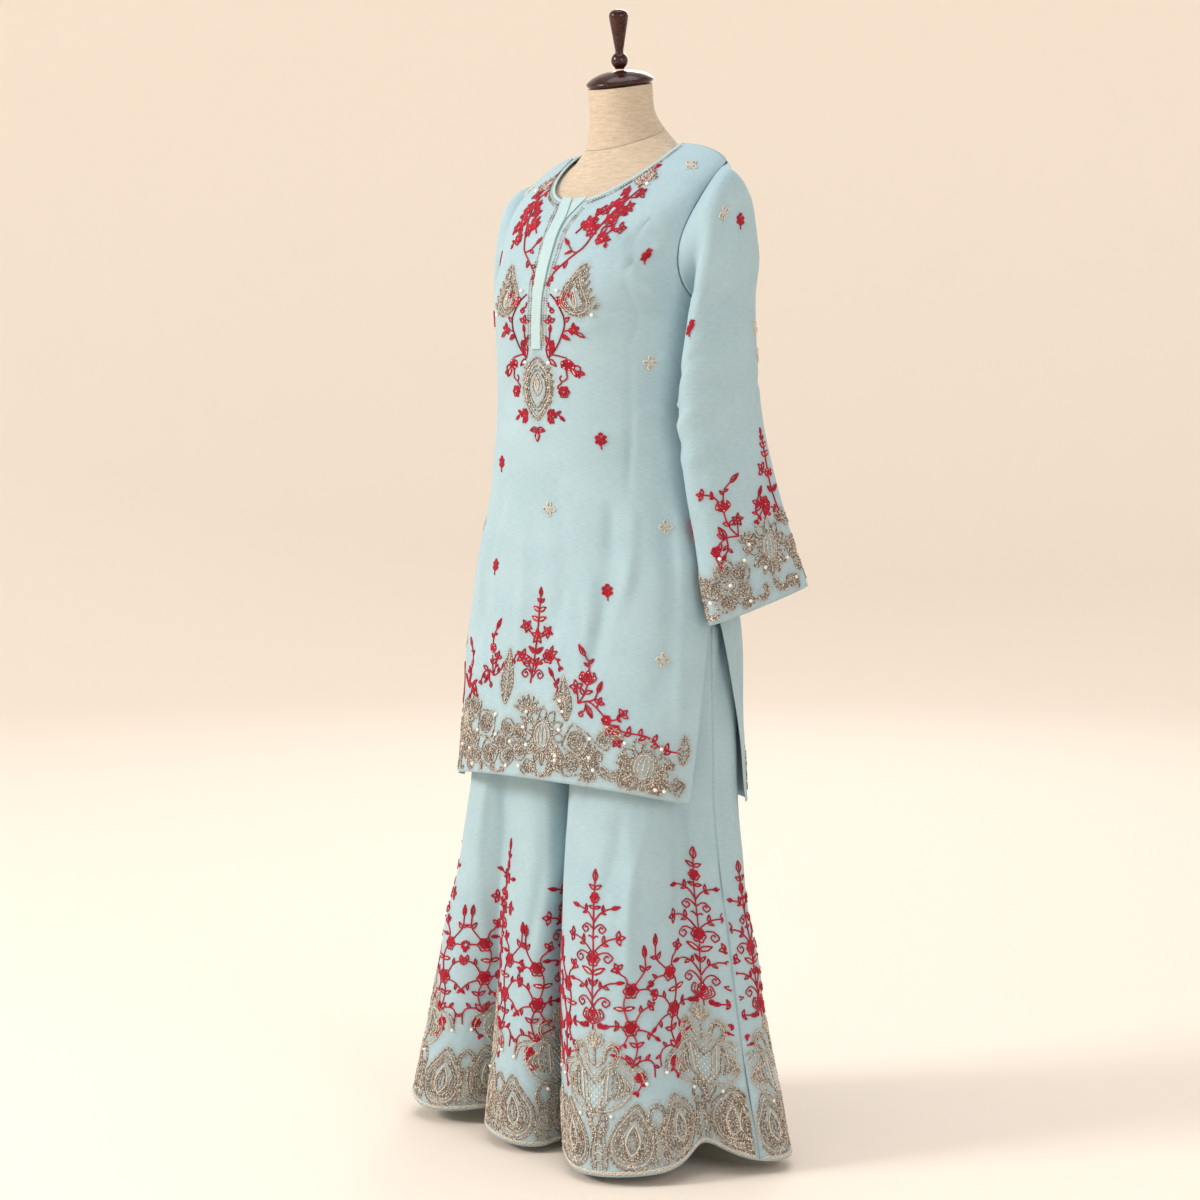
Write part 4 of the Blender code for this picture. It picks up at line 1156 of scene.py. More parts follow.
def leafOutline(length, width):
    side = [(0.5 * width * math.sin(math.pi * t**0.8), length * t) for t in (0.16, 0.36, 0.58, 0.8)]
    return [(0, 0)] + side + [(0, length)] + [(-x, y) for x, y in reversed(side)]


def leaf(kind, length, width, vein=None):
    made = loop(kind, leafOutline(length, width))
    if vein:
        made += line(vein, (0, 0.22 * length), (0.04 * length, 0.5 * length), (0, 0.78 * length))
    return made


def ring(kind, r, tall=1.0, steps=8):
    return loop(kind, [(r * math.cos(tau * i / steps), tall * r * math.sin(tau * i / steps)) for i in range(steps)])


def spiral(kind, r, pitch=2.5, start=0.0, hand=1):
    turns = max(r / pitch, 0.8)
    steps = int(9 * turns)
    return [(kind, curve([(
        r * (1 - 0.92 * i / steps) * math.cos(start + hand * tau * turns * i / steps),
        r * (1 - 0.92 * i / steps) * math.sin(start + hand * tau * turns * i / steps),
    ) for i in range(steps + 1)]))]


def hook(kind, x, y, r):  # a stem that swings out and coils in on itself
    h = math.copysign(1, x)
    return line(kind, (0, 0), (0.12 * x, 0.55 * y), (0.55 * x, y + 0.85 * r), (x, y + r), (x + h * r, y),
                (x + 0.1 * h * r, y - 0.95 * r), (x - 0.7 * h * r, y - 0.25 * r), (x - 0.2 * h * r, y + 0.4 * r),
                (x + 0.25 * h * r, y + 0.05 * r))


def floret(kind, r, petals=3, spread=75):
    made = []
    for i in range(petals):
        turn = spread * (2 * i / (petals - 1) - 1)
        made += moved(leaf(kind, r, 0.62 * r), turn=turn)
    return made + moved(ring(kind, 0.22 * r, steps=5), y=0.1 * r)


def rosette(r, kind="crimson", centre=None):
    steps = 20
    scallop = [(r * (1 + 0.13 * math.cos(6 * tau * i / steps)) * math.cos(tau * i / steps),
                r * (1 + 0.13 * math.cos(6 * tau * i / steps)) * math.sin(tau * i / steps)) for i in range(steps)]
    made = loop(kind, scallop) + spiral(kind, 0.8 * r, 2.3)
    return made + (dots(centre, (0, 0)) if centre else [])


def crown(w, h, tips=5):  # broad open blossom with a white bead on each tip
    edge = [(-0.5 * w, 0.35 * h), (-0.36 * w, 0.85 * h), (-0.18 * w, 0.7 * h), (0, h), (0.18 * w, 0.7 * h),
            (0.36 * w, 0.85 * h), (0.5 * w, 0.35 * h), (0.28 * w, 0.02 * h), (0, -0.18 * h), (-0.28 * w, 0.02 * h)]
    made = loop("crimson", edge)
    for size in (0.74, 0.48, 0.2):
        made += moved(loop("crimson", edge), y=0.36 * h * (1 - size), size=size)
    beads = [(0.42 * w * math.sin(a), 0.30 * h + 0.52 * h * math.cos(a)) for a in np.linspace(-1.35, 1.35, tips)]
    return made + dots("seed", *beads, (0, -0.05 * h))


def star(r):  # small filled flower with pointed petals
    made = []
    for i in range(5):
        made += moved(leaf("crimson", r, 0.5 * r), turn=72 * i)
    return made + spiral("crimson", 0.42 * r, 2.0) + dots("seed", (0, 0))


def pair(y, length, width, turn=62, vein=None):  # two leaves, one each side of a stem
    one = leaf("crimson", length, width, vein)
    return moved(one, y=y, turn=-turn) + moved(one, y=y, turn=turn)


def both(motif):
    return motif + moved(motif, flip=True)


def sprig(points, leaves, end=None, endSize=9.0, kind="crimson"):  # a stem with leaves and a flower at its tip
    stem = curve(points)
    steps = np.concatenate([[0], np.cumsum(np.hypot(*np.diff(stem, axis=0).T))])
    made = [(kind, stem)]

    def at(share):
        run = share * steps[-1]
        place = np.array([np.interp(run, steps, stem[:, 0]), np.interp(run, steps, stem[:, 1])])
        i = min(int(np.searchsorted(steps, run)), len(stem) - 1)
        x, y = stem[max(i, 1)] - stem[max(i, 1) - 1]
        return place, math.degrees(math.atan2(-x, y))

    for share, side, length in leaves:
        place, turn = at(share)
        made += moved(leaf(kind, length, 0.42 * length), *place, turn=turn + 52 * side)
    place, turn = at(1.0)
    ends = {"leaf": lambda: leaf(kind, endSize * 1.6, endSize * 0.6, kind), "floret": lambda: floret(kind, endSize),
            "star": lambda: star(endSize), "crown": lambda: crown(2 * endSize, 1.2 * endSize),
            "rosette": lambda: moved(rosette(endSize), y=0.8 * endSize), "bud": lambda: floret(kind, endSize * 0.6, 2, 40)}
    return made + (moved(ends[end](), *place, turn=turn) if end else [])


def diamondSpray():  # the small crimson flower scattered over the cloth
    made = []
    for x, y in ((0, 7), (-5, 3), (5, 3), (-5, -3), (5, -3), (0, 0), (0, -6)):
        made += moved(spiral("crimson", 3.1, 2.2), x, y)
    return made + line("crimson", (0, -9), (0.5, -13))


def whiteSpray():
    made = []
    for turn in (0, 90, 180, 270):
        made += moved(ring("white", 3.0, 1.25, 6), *(6 * np.array((math.sin(math.radians(turn)),
                      math.cos(math.radians(turn))))), turn=-turn)
    return made + dots("seed", (0, 0))


# gold work


def petalFlower(r, petals=5, kind="gold"):
    made = []
    for i in range(petals):
        a = tau * (i + 0.25) / petals
        place = (0.60 * r * math.cos(a), 0.60 * r * math.sin(a))
        petal = ring(kind, 0.40 * r, 1.0, 8) + spiral(kind, 0.28 * r, 3.0, a)
        made += moved(petal, *place)
    return made + ring(kind, 0.20 * r, 1.0, 6) + dots("pearl", (0, 0))


def peony(r, kind="gold"):
    made = ring(kind, 0.46 * r, 1.25) + ring("pale", 0.36 * r, 1.25)
    for x in (-0.16, 0.0, 0.16):
        made += line("pale", (x * r, -0.3 * r), (1.3 * x * r, 0), (0.7 * x * r, 0.3 * r))
    for i in range(9):
        turn = -128 + 32 * i
        made += moved(leaf(kind, 0.50 * r, 0.34 * r), 0.5 * r * math.sin(math.radians(turn)),
                      0.56 * r * math.cos(math.radians(turn)), turn=-turn)
    for i in range(5):
        turn = 180 + 26 * (i - 2)
        made += moved(leaf(kind, 0.56 * r, 0.24 * r, "pale"), 0.3 * r * math.sin(math.radians(turn)),
                      0.55 * r * math.cos(math.radians(turn)), turn=-turn)
    return made


def coilRose(r, kind="gold"):
    made = spiral(kind, r * 0.62, 3.3)
    for i in range(4):
        made += moved(line(kind, (-0.5 * r, 0.55 * r), (0, 0.95 * r), (0.5 * r, 0.55 * r)), turn=90 * i + 20)
    return made


def feather(length, width, kind="gold"):
    made = loop(kind, leafOutline(length, width)) + line("pale", (0, 0), (0.02 * length, 0.5 * length), (0, length))
    count = max(int(length / 5.0), 3)
    for i in range(1, count):
        y = length * i / count
        reach = 0.44 * width * math.sin(math.pi * (y / length) ** 0.8)
        made += line(kind, (-reach, y + 0.35 * reach), (0, y - 0.3 * reach), (reach, y + 0.35 * reach))
    return made


def carnation(r, kind="gold"):
    made = line(kind, (0, -0.9 * r), (0.05 * r, -0.4 * r), (0, 0))
    for i in range(7):
        turn = -75 + 25 * i
        made += moved(leaf(kind, r, 0.26 * r), turn=turn)
    return made + both(moved(leaf(kind, 0.5 * r, 0.22 * r), y=-0.6 * r, turn=60)) + dots("pearl", (0, 0))


def arcNet(r, kind="gold"):  # beaded crescent round an open eye
    made = []
    for size in (1.0, 0.84, 0.68, 0.54):
        made += line(kind, *[(size * r * math.cos(a), size * r * math.sin(a)) for a in np.linspace(2.6, 6.2, 8)])
    return made + dots("grain", *[(0.76 * r * math.cos(a), 0.76 * r * math.sin(a)) for a in np.linspace(2.7, 6.1, 12)])


def teardrop(w, h):
    return [(0, -0.5 * h), (0.40 * w, -0.36 * h), (0.5 * w, -0.12 * h), (0.30 * w, 0.14 * h), (0.12 * w, 0.36 * h),
            (0.16 * w, 0.52 * h), (-0.02 * w, 0.48 * h), (-0.14 * w, 0.28 * h), (-0.36 * w, 0.06 * h),
            (-0.5 * w, -0.2 * h), (-0.32 * w, -0.42 * h)]


def paisley(w, h, kind="gold"):
    made = []
    for size, thread in ((1.0, kind), (0.86, "pale"), (0.70, kind), (0.54, kind)):
        made += moved(loop(thread, teardrop(w, h)), y=-0.14 * h * (1 - size), size=size)
    made += moved(leaf("white", 0.34 * h, 0.20 * w, "pale"), y=-0.30 * h)
    for i in range(6):  # comb of small leaves up the outer side
        y = -0.34 * h + 0.13 * h * i
        x = 0.56 * w - 0.07 * w * i
        made += moved(leaf(kind, 0.16 * h, 0.07 * w), x, y, turn=-48 + 6 * i)
    beads = [(-0.22 * w, -0.26 * h), (0.26 * w, -0.22 * h), (0.1 * w, 0.05 * h), (-0.1 * w, -0.02 * h)]
    return made + dots("seed", *beads) + dots("pearl", (0.34 * w, -0.5 * h), (-0.58 * w, 0.02 * h))


def dropMedallion(w, h):
    edge = [(0, 0.5 * h), (0.26 * w, 0.40 * h), (0.46 * w, 0.18 * h), (0.5 * w, -0.06 * h), (0.32 * w, -0.32 * h),
            (0, -0.52 * h), (-0.32 * w, -0.32 * h), (-0.5 * w, -0.06 * h), (-0.46 * w, 0.18 * h), (-0.26 * w, 0.40 * h)]
    made = []
    for size, thread in ((1.0, "gold"), (0.90, "pale"), (0.74, "gold"), (0.60, "gold")):
        made += moved(loop(thread, edge), size=size)
    made += moved(leaf("pale", 0.36 * h, 0.34 * w, "white"), y=-0.12 * h) + moved(leaf("white", 0.2 * h, 0.14 * w), y=-0.02 * h)
    for side in (-1, 1):
        for i in range(6):
            y = 0.3 * h - 0.11 * h * i
            made += moved(leaf("gold", 0.11 * h, 0.08 * w), side * (0.30 + 0.06 * i - 0.012 * i * i) * w, y, turn=-side * 70)
    beads = [(0.41 * w * math.sin(a), -0.02 * h + 0.33 * h * math.cos(a)) for a in np.linspace(0.5, 5.8, 12)]
    return made + dots("seed", *beads) + dots("pearl", (0.42 * w, 0.42 * h), (-0.42 * w, 0.42 * h))


def lotus():  # pale beaded flower with horns, a crowned top and a pendant, 112 mm across
    side = [(4, -38), (26, -34), (46, -20), (56, 2), (50, 18), (36, 27), (22, 24)]
    made = both(line("pale", *side))
    made += both(line("pale", (22, 24), (14, 8), (12, -12), (4, -38)))
    made += both(line("gold", (28, 22), (26, 4), (24, -14), (12, -32)))
    for k in range(6):
        t = k / 5
        made += both(line("pale" if k % 2 else "gold", (30 + 3 * k, 22 - 3 * k), (33 + 4 * t * 5, 2 - 2 * k),
                          (28 + 3 * k, -12 - 1.5 * (5 - k))))
    made += both(line("white", (21, 20), (19, 0), (17, -22)))
    made += line("gold", (-22, 24), (-12, 12), (0, 2), (12, 12), (22, 24)) + line("pale", (-16, 28), (0, 10), (16, 28))
    made += both(line("pale", (36, 27), (48, 22), (60, 20), (68, 12), (70, 2)))  # horns
    made += both(line("gold", (40, 31), (52, 27), (64, 24), (73, 14), (74, 4)))
    for size in (1.0, 0.78, 0.58):  # ears over the crown
        ear = [(0, 24), (10, 30), (14, 46), (24, 58), (35, 54), (38, 42), (32, 30), (22, 24)]
        made += both([("pale" if size > 0.7 else "gold", (curve(ear) - (22, 40)) * size + (22, 40))])
    for i in range(5):  # fan at the top
        made += moved(leaf("pale", 24 - 3 * abs(i - 2), 7), y=52, turn=26 * (i - 2))
    made += line("gold", (0, 24), (0, 40), (0, 52))
    made += loop("gold", [(-14, -40), (0, -36), (14, -40), (8, -52), (0, -66), (-8, -52)])
    made += loop("pale", [(-8, -43), (0, -41), (8, -43), (0, -59)])
    seeds = [(4.2 * (i - j), 16 - 4.6 * (i + j)) for i in range(7) for j in range(7) if i + j < 12 and abs(i - j) < 4]
    made += dots("seed", *seeds)
    rim = [(x, y) for x, y in curve(side + [(22, 24)])] + [(-x, y) for x, y in curve(side + [(22, 24)])]
    made += dots("grain", *[(0.88 * x, 0.88 * y - 1) for x, y in rim])
    return made + dots("pearl", (24, -43), (-24, -43), (74, 0), (-74, 0))


def hemLeaf():  # brown-beige leaf panel over the trouser hem, 62 mm across and 92 mm tall
    outer = [(0, 2), (22, 8), (32, 28), (30, 50), (18, 70), (2, 92), (-14, 76), (-28, 54), (-32, 30), (-22, 8)]
    middle = np.array((0, 40))
    made = []
    for size, kind in ((1.0, "gold"), (0.87, "pale"), (0.74, "gold"), (0.62, "gold")):
        made += [(kind, (curve(outer, closed=True) - middle) * size + middle)]
    made += moved(leaf("white", 42, 20), y=22) + moved(leaf("gold", 32, 12, "gold"), y=27)
    for i in range(4):
        made += both(line("gold", (4, 14 + 2 * i), (13 + i, 20 + 9 * i), (14 - i, 32 + 9 * i)))
    made += line("pale", (-16, 16), (0, 12), (16, 16)) + line("white", (0, 12), (-5, 5)) + line("white", (0, 12), (6, 5))
    edge = (curve(outer, closed=True)[::1] - middle) * 0.94 + middle
    inner = (curve(outer, closed=True)[::1] - middle) * 0.70 + middle
    return made + dots("grain", *edge) + dots("grain", *inner)


def hemFiller():  # beaded strip with an open eye, between two leaf panels
    made = []
    for x in (-9, -4, 4, 9):
        made += line("gold", (x, 4), (1.3 * x, 24), (0.8 * x, 40), (0.9 * x, 56))
    made += ring("gold", 9, 1.5) + ring("gold", 12, 1.5)
    made = [(kind, p + (0, 62) if len(p) > 9 and p[:, 1].min() < -5 else p) for kind, p in made]
    for y in (10, 20, 30):
        made += line("pale", (-9, y), (0, y + 5), (9, y))
    return made + dots("grain", *[(x, y) for y in range(6, 46, 6) for x in (-7, 0, 7)])


def trouserTree():  # 220 mm crimson tree that stands on a lotus
    made = line("crimson", (0, 0), (-1, 50), (1, 100), (-1, 160), (0, 206))
    made += crown(34, 20)
    made = moved(made, y=0) if False else made
    made = line("crimson", (0, 0), (-1, 50), (1, 100), (-1, 160), (0, 206)) + moved(crown(34, 20), y=12)
    made += both(moved(spiral("crimson", 4.5, 2.6), 11, 6))
    made += both(moved(hook("crimson", 19, 8, 6.5), y=30))
    made += both(moved(sprig([(0, 0), (10, 14), (24, 22), (34, 23)], [(0.45, 1, 9), (0.55, -1, 9)], "leaf", 7), y=42))
    made += pair(60, 12, 4, 40) + pair(76, 20, 7, 64, "white") + moved(rosette(9.5), y=97)
    made += both(moved(hook("crimson", 22, -2, 7), y=101))
    made += both(moved(sprig([(0, 0), (12, 12), (24, 20), (36, 22)], [(0.5, 1, 10), (0.45, -1, 9)], "floret", 10), y=104))
    made += both(moved(line("crimson", (0, 0), (5, 4), (8, 3)), y=124)) + both(moved(hook("crimson", 13, 0, 6), y=138))
    made += both(moved(sprig([(0, 0), (8, 12), (18, 18), (26, 20)], [(0.6, 1, 9), (0.55, -1, 7)], "leaf", 8), y=146))
    made += pair(166, 9, 4, 75) + moved(rosette(6.5), y=180) + pair(192, 11, 5, 60)
    return made + moved(leaf("crimson", 16, 8, "crimson"), y=203)


def trouserVine():  # climbing vine beside the tree, with two filled roses
    made = line("crimson", (56, -50), (63, -22), (55, 0), (45, 28), (46, 46), (54, 54))
    made += moved(rosette(10), 54, 3) + moved(rosette(9.5), 54, 54)
    made += moved(pair(0, 14, 5.5, 80, "white"), 45, 29) + moved(pair(0, 11, 5, 60), 62, -22)
    made += moved(sprig([(0, 0), (10, 12), (16, 22), (15, 38)], [(0.55, 1, 11), (0.6, -1, 9)], "leaf", 10), 58, 60)
    made += moved(sprig([(0, 0), (-3, 10), (-10, 15), (-14, 22)], [(0.8, 1, 6)], "floret", 9), 50, 62)
    made += moved(sprig([(0, 0), (12, 1), (20, -4)], [(0.6, 1, 8)], "bud", 10), 63, 54)
    made += moved(sprig([(0, 0), (-12, 3), (-22, 2)], [(0.4, 1, 8), (0.4, -1, 9)], "leaf", 9), 46, 4)
    made += moved(sprig([(0, 0), (8, 14), (20, 20)], [(0.5, 1, 9)], "floret", 8), 60, 11)
    made += moved(sprig([(0, 0), (12, -2), (24, -12)], [(0.6, -1, 9)], "leaf", 6), 63, 0)
    made += moved(sprig([(0, 0), (-4, -10), (-12, -16)], [(0.6, 1, 6)], "bud", 10), 50, -6)
    made += moved(sprig([(0, 0), (-10, 12), (-22, 16)], [], "leaf", 5), 56, -50)
    made += moved(leaf("crimson", 18, 8, "crimson"), 57, -48, turn=34) + moved(leaf("crimson", 16, 7), 57, -48, turn=-38)
    made += moved(sprig([(0, 0), (10, 8), (24, 8), (30, 0), (31, -16)], [(0.4, 1, 9), (0.7, 1, 8)]), 56, -50)
    return made + moved(sprig([(0, 0), (2, -14), (-4, -24)], [(0.5, 1, 6)], "bud", 9), 66, -60) + moved(rosette(6), 66, -64)


def skirtTree():  # centre of the front hem, 130 mm tall
    made = line("crimson", (-3, 0), (2, 40), (6, 78), (9, 130))
    made += pair(0, 0.1, 0.1, 0)[:0] + moved(both(hook("crimson", 13, 5, 6)), 0, 8)
    made += moved(pair(0, 13, 5, 40), 1, 26) + moved(pair(0, 15, 6, 55, "crimson"), 3, 42)
    made += moved(star(11), 5, 66) + moved(pair(0, 13, 6, 68, "white"), 7, 88) + moved(pair(0, 12, 6, 62, "white"), 8, 101)
    made += moved(pair(0, 8, 4, 48), 9, 113) + moved(leaf("crimson", 12, 6, "crimson"), 9, 122)
    made += moved(sprig([(0, 0), (-10, 9), (-14, 15)], [], "star", 9), 0, 64)
    made += moved(sprig([(0, 0), (10, 4), (14, 9)], [], "star", 9), 8, 64)
    made += moved(sprig([(0, 0), (8, 14), (18, 20)], [(0.3, 1, 9), (0.5, -1, 8)], "rosette", 9), 2, 16)
    made += moved(sprig([(0, 0), (9, -5), (16, -16)], [(0.5, 1, 6)], "bud", 9), 32, 42)
    made += moved(leaf("crimson", 11, 5), 30, 44, turn=-20) + moved(leaf("crimson", 11, 5), 32, 42, turn=-62)
    made += moved(sprig([(0, 0), (-7, 14), (-17, 22)], [(0.4, 1, 10), (0.5, -1, 8)], "star", 11), -2, 14)
    return made + moved(sprig([(0, 0), (-8, -2), (-12, -10)], [], "bud", 8), -22, 40)


def sideTree(size=1.0):  # smaller branching spray over the hem
    made = line("crimson", (0, 0), (-3, 14), (-4, 30)) + moved(crown(17, 12), -4, 36)
    made += moved(sprig([(0, 0), (1, 12), (8, 24)], [(0.35, 1, 9), (0.6, -1, 7)], "leaf", 11), -3, 46)
    made += moved(leaf("crimson", 11, 5), -3, 18, turn=62) + moved(leaf("crimson", 12, 6), -3, 18, turn=-56)
    made += sprig([(0, 0), (6, 16), (10, 28)], [(0.5, -1, 7)], "floret", 9)
    made += sprig([(0, 0), (-14, 8), (-28, 4), (-33, -10)], [(0.3, 1, 9), (0.5, -1, 12), (0.7, 1, 8)], "bud", 9)
    made += sprig([(0, 0), (12, 4), (22, 14)], [(0.5, 1, 8)], "leaf", 8)
    made += moved(hook("crimson", 7, -20, 4), -14, 6) + moved(leaf("crimson", 16, 6, "crimson"), -16, 2, turn=150)
    return moved(made, size=size)


def trailingVine():  # runs along the top of the border to the side slit
    made = line("crimson", (0, 0), (16, 4), (34, -8), (48, -22), (64, -30), (84, -32), (104, -34), (126, -48), (146, -50))
    made += sprig([(0, 0), (8, 12), (12, 26)], [(0.5, 1, 12), (0.6, -1, 12)]) + moved(crown(25, 16), 12, 30)
    made += moved(sprig([(0, 0), (0, 12), (-6, 22)], [(0.35, 1, 8), (0.5, -1, 9)], "leaf", 11), 12, 44)
    made += sprig([(0, 0), (-2, 14), (-4, 22)], [(0.6, 1, 7)], "floret", 10)
    made += moved(sprig([(0, 0), (10, 4), (14, 14)], [], "leaf", 10), 14, 4)
    made += moved(sprig([(0, 0), (3, 8)], [], "floret", 8), 28, -4) + moved(leaf("crimson", 18, 7, "crimson"), 14, -2, turn=-150)
    made += moved(hook("crimson", -6, -16, 4), 12, 2) + moved(rosette(6, centre="seed"), 44, -18)
    made += moved(sprig([(0, 0), (12, 2), (20, 10)], [(0.6, 1, 7), (0.6, -1, 6)], "floret", 9), 46, -18)
    made += moved(rosette(6.5, centre="seed"), 58, -30) + moved(star(8), 62, -46) + moved(leaf("crimson", 14, 5, "crimson"), 50, -26, turn=160)
    for x, y, turn in ((76, -32, 30), (80, -32, 150), (92, -33, 28), (100, -34, 160), (112, -38, 20), (118, -44, 140),
                       (130, -48, 30), (136, -49, 160)):
        made += moved(leaf("crimson", 9.5, 5), x, y, turn=turn - 40)
    return made


def yokeVine():  # crimson branches beside the neck opening, right of the placket
    made = line("crimson", (0, 0), (10, 14), (24, 30), (42, 46), (62, 58), (84, 66))
    made += moved(rosette(8, centre="seed"), 30, 12) + moved(star(11), 14, 32) + moved(star(10), 56, 44)
    made += sprig([(0, 0), (-12, 6), (-18, 16)], [(0.5, 1, 9)], "leaf", 7)
    made += sprig([(0, 0), (-8, -10), (-20, -24), (-24, -36)], [(0.3, 1, 11), (0.5, -1, 10), (0.8, 1, 8)], "bud", 9)
    made += moved(sprig([(0, 0), (8, -2), (12, -12)], [(0.5, 1, 8)], "leaf", 7), 30, 8)
    made += moved(sprig([(0, 0), (10, 4), (22, 2)], [(0.4, 1, 9), (0.6, -1, 8)], "floret", 9), 34, 16)
    made += moved(sprig([(0, 0), (4, 12), (2, 20)], [(0.5, -1, 8)], "floret", 10), 12, 20)
    made += moved(sprig([(0, 0), (12, -4), (24, -2)], [(0.4, 1, 9), (0.6, -1, 9)], "star", 9), 44, 46)
    made += moved(sprig([(0, 0), (0, 10), (6, 18)], [(0.6, 1, 8)], "floret", 9), 36, 42)
    made += moved(sprig([(0, 0), (2, 10), (-4, 18)], [(0.6, -1, 8)], "floret", 8), 60, 58)
    return made + moved(sprig([(0, 0), (12, -6), (20, -4)], [(0.5, 1, 8)], "floret", 9), 66, 60)


def frontScroll():  # branch beside the lower placket, right side
    made = line("crimson", (0, 0), (14, 14), (26, 34), (34, 56), (30, 80), (22, 98), (8, 110))
    made += moved(crown(24, 15), 26, 88) + moved(crown(23, 15), 30, -8, turn=-140) if False else made
    made += moved(crown(25, 15, 4), 28, 92, turn=-30) + moved(crown(26, 16, 4), 40, -6, turn=160)
    made += moved(rosette(9, centre="seed"), 30, -58) + moved(star(9), 52, 48)
    made += line("crimson", (6, 6), (20, 4), (36, 0)) + line("crimson", (34, -18), (36, -34), (26, -40), (22, -34), (26, -30))
    made += line("crimson", (26, -42), (18, -50), (26, -58))
    made += sprig([(0, 0), (-4, 14), (2, 30), (4, 44)], [(0.3, -1, 22), (0.6, 1, 12)], "leaf", 8)
    made += moved(sprig([(0, 0), (10, 2), (18, 4)], [(0.5, -1, 7)], "floret", 10), 33, 46)
    made += moved(leaf("crimson", 16, 6), 56, 44, turn=-120) + moved(leaf("crimson", 17, 7, "crimson"), 28, 40, turn=-120)
    made += moved(leaf("crimson", 24, 8, "crimson"), 4, 4, turn=-20) + moved(leaf("crimson", 22, 7, "crimson"), 8, 8, turn=8)
    made += moved(leaf("crimson", 18, 7), 2, -2, turn=-130) + moved(leaf("crimson", 18, 7, "white"), 44, -16, turn=-150)
    made += moved(leaf("crimson", 12, 6), 34, 62, turn=-50) + moved(hook("crimson", 6, -14, 5), 4, 96)
    made += moved(floret("crimson", 11), 4, 62, turn=10) + moved(sprig([(0, 0), (6, 10), (14, 14)], [(0.5, 1, 8)], "floret", 8), 32, 100)
    made += moved(sprig([(0, 0), (10, 2), (14, -6)], [], "floret", 9), 50, -12, turn=-30)
    return made + moved(sprig([(0, 0), (10, -2), (18, -8)], [(0.4, -1, 9), (0.6, 1, 9)], "leaf", 7), 4, -92)


def sleeveTree():  # crimson branch over the cuff border
    made = line("crimson", (0, 0), (-10, 14), (-14, 30), (-14, 38)) + moved(crown(22, 13, 4), -14, 40)
    made += moved(sprig([(0, 0), (3, 12), (6, 18), (16, 24)], [(0.35, 1, 8), (0.5, -1, 7)], "leaf", 11), -13, 50)
    made += moved(sprig([(0, 0), (-8, 12), (-22, 18)], [(0.4, 1, 6), (0.5, -1, 7)], "floret", 8), -18, 50)
    made += moved(pair(0, 10, 5, 60), -10, 18) + sprig([(0, 0), (2, 14), (4, 22)], [], "star", 9)
    made += sprig([(0, 0), (-16, 2), (-30, -4), (-38, -18), (-34, -34)], [(0.3, -1, 14), (0.45, 1, 10), (0.7, 1, 8)], "bud", 8)
    made += moved(leaf("crimson", 20, 8, "crimson"), -18, 1, turn=24) + moved(rosette(6), -36, -12)
    return made + moved(sprig([(0, 0), (0, -12), (-6, -20)], [(0.4, -1, 9), (0.6, 1, 8)], "leaf", 8), -18, 0)


def sleeveVine():  # taller vine on the outer side of the sleeve
    made = line("crimson", (0, 0), (-4, 26), (-7, 60), (-8, 96), (-12, 128))
    made += moved(hook("crimson", -12, 4, 5), 0, 2) + moved(crown(18, 11, 4), -7, 66) + moved(rosette(10, centre="seed"), -34, 30)
    made += moved(sprig([(0, 0), (-8, 10), (-18, 14)], [(0.4, 1, 9), (0.4, -1, 8)]), -4, 10)
    made += moved(sprig([(0, 0), (-10, -8), (-16, -14)], [(0.6, 1, 6)], "bud", 9), -40, 24) + moved(floret("crimson", 12), -44, 32, turn=60)
    made += moved(sprig([(0, 0), (-8, 2), (-12, 6)], [], "floret", 12), -12, 70)
    made += moved(pair(0, 14, 6, 55, "crimson"), -5, 44) + moved(pair(0, 12, 6, 60, "white"), -8, 94)
    return made + moved(pair(0, 11, 5, 55, "white"), -9, 106) + moved(pair(0, 7, 4, 45), -10, 117) + moved(leaf("crimson", 9, 4), -11, 124)


# the motifs are laid on a panel by walking its own columns and rings


def sample(grid, u, v, wrap=None):
    rows, columns = grid.shape[0] - 1, grid.shape[1] - 1
    turns = np.floor(u) if wrap is not None else 0.0
    x, y = np.clip(u - turns, 0, 1) * columns, np.clip(v, 0, 1) * rows
    j, i = np.minimum(x.astype(int), columns - 1), np.minimum(y.astype(int), rows - 1)
    fx, fy = x - j, y - i
    if grid.ndim == 3:
        fx, fy = fx[:, None], fy[:, None]
    found = (grid[i, j] * (1 - fx) + grid[i, j + 1] * fx) * (1 - fy) + (grid[i + 1, j] * (1 - fx) + grid[i + 1, j + 1] * fx) * fy
    if wrap == "run":
        width = sample((grid[:, -1:] - grid[:, :1]).repeat(2, 1), np.zeros_like(v), v)
        found = found + turns * width
    return found


def anchor(panel, s, h, closed):
    u, v = np.array([0.5]), np.array([h / panel["h"][-1].mean()])
    step = 0.004
    run, round_ = ("run", "wrap") if closed else (None, None)
    for _ in range(12):
        across = (sample(panel["s"], u + step, v, run) - sample(panel["s"], u - step, v, run)) / (2 * step)
        up = (sample(panel["h"], u, v + step, round_) - sample(panel["h"], u, v - step, round_)) / (2 * step)
        u = u - (sample(panel["s"], u, v, run) - s) / np.maximum(across, 1e-3)
        v = v - (sample(panel["h"], u, v, round_) - h) / np.maximum(up, 1e-3)
        if not closed:
            u = np.clip(u, 0.01, 0.99)
        v = np.clip(v, 0.005, 0.995)
    return u, v


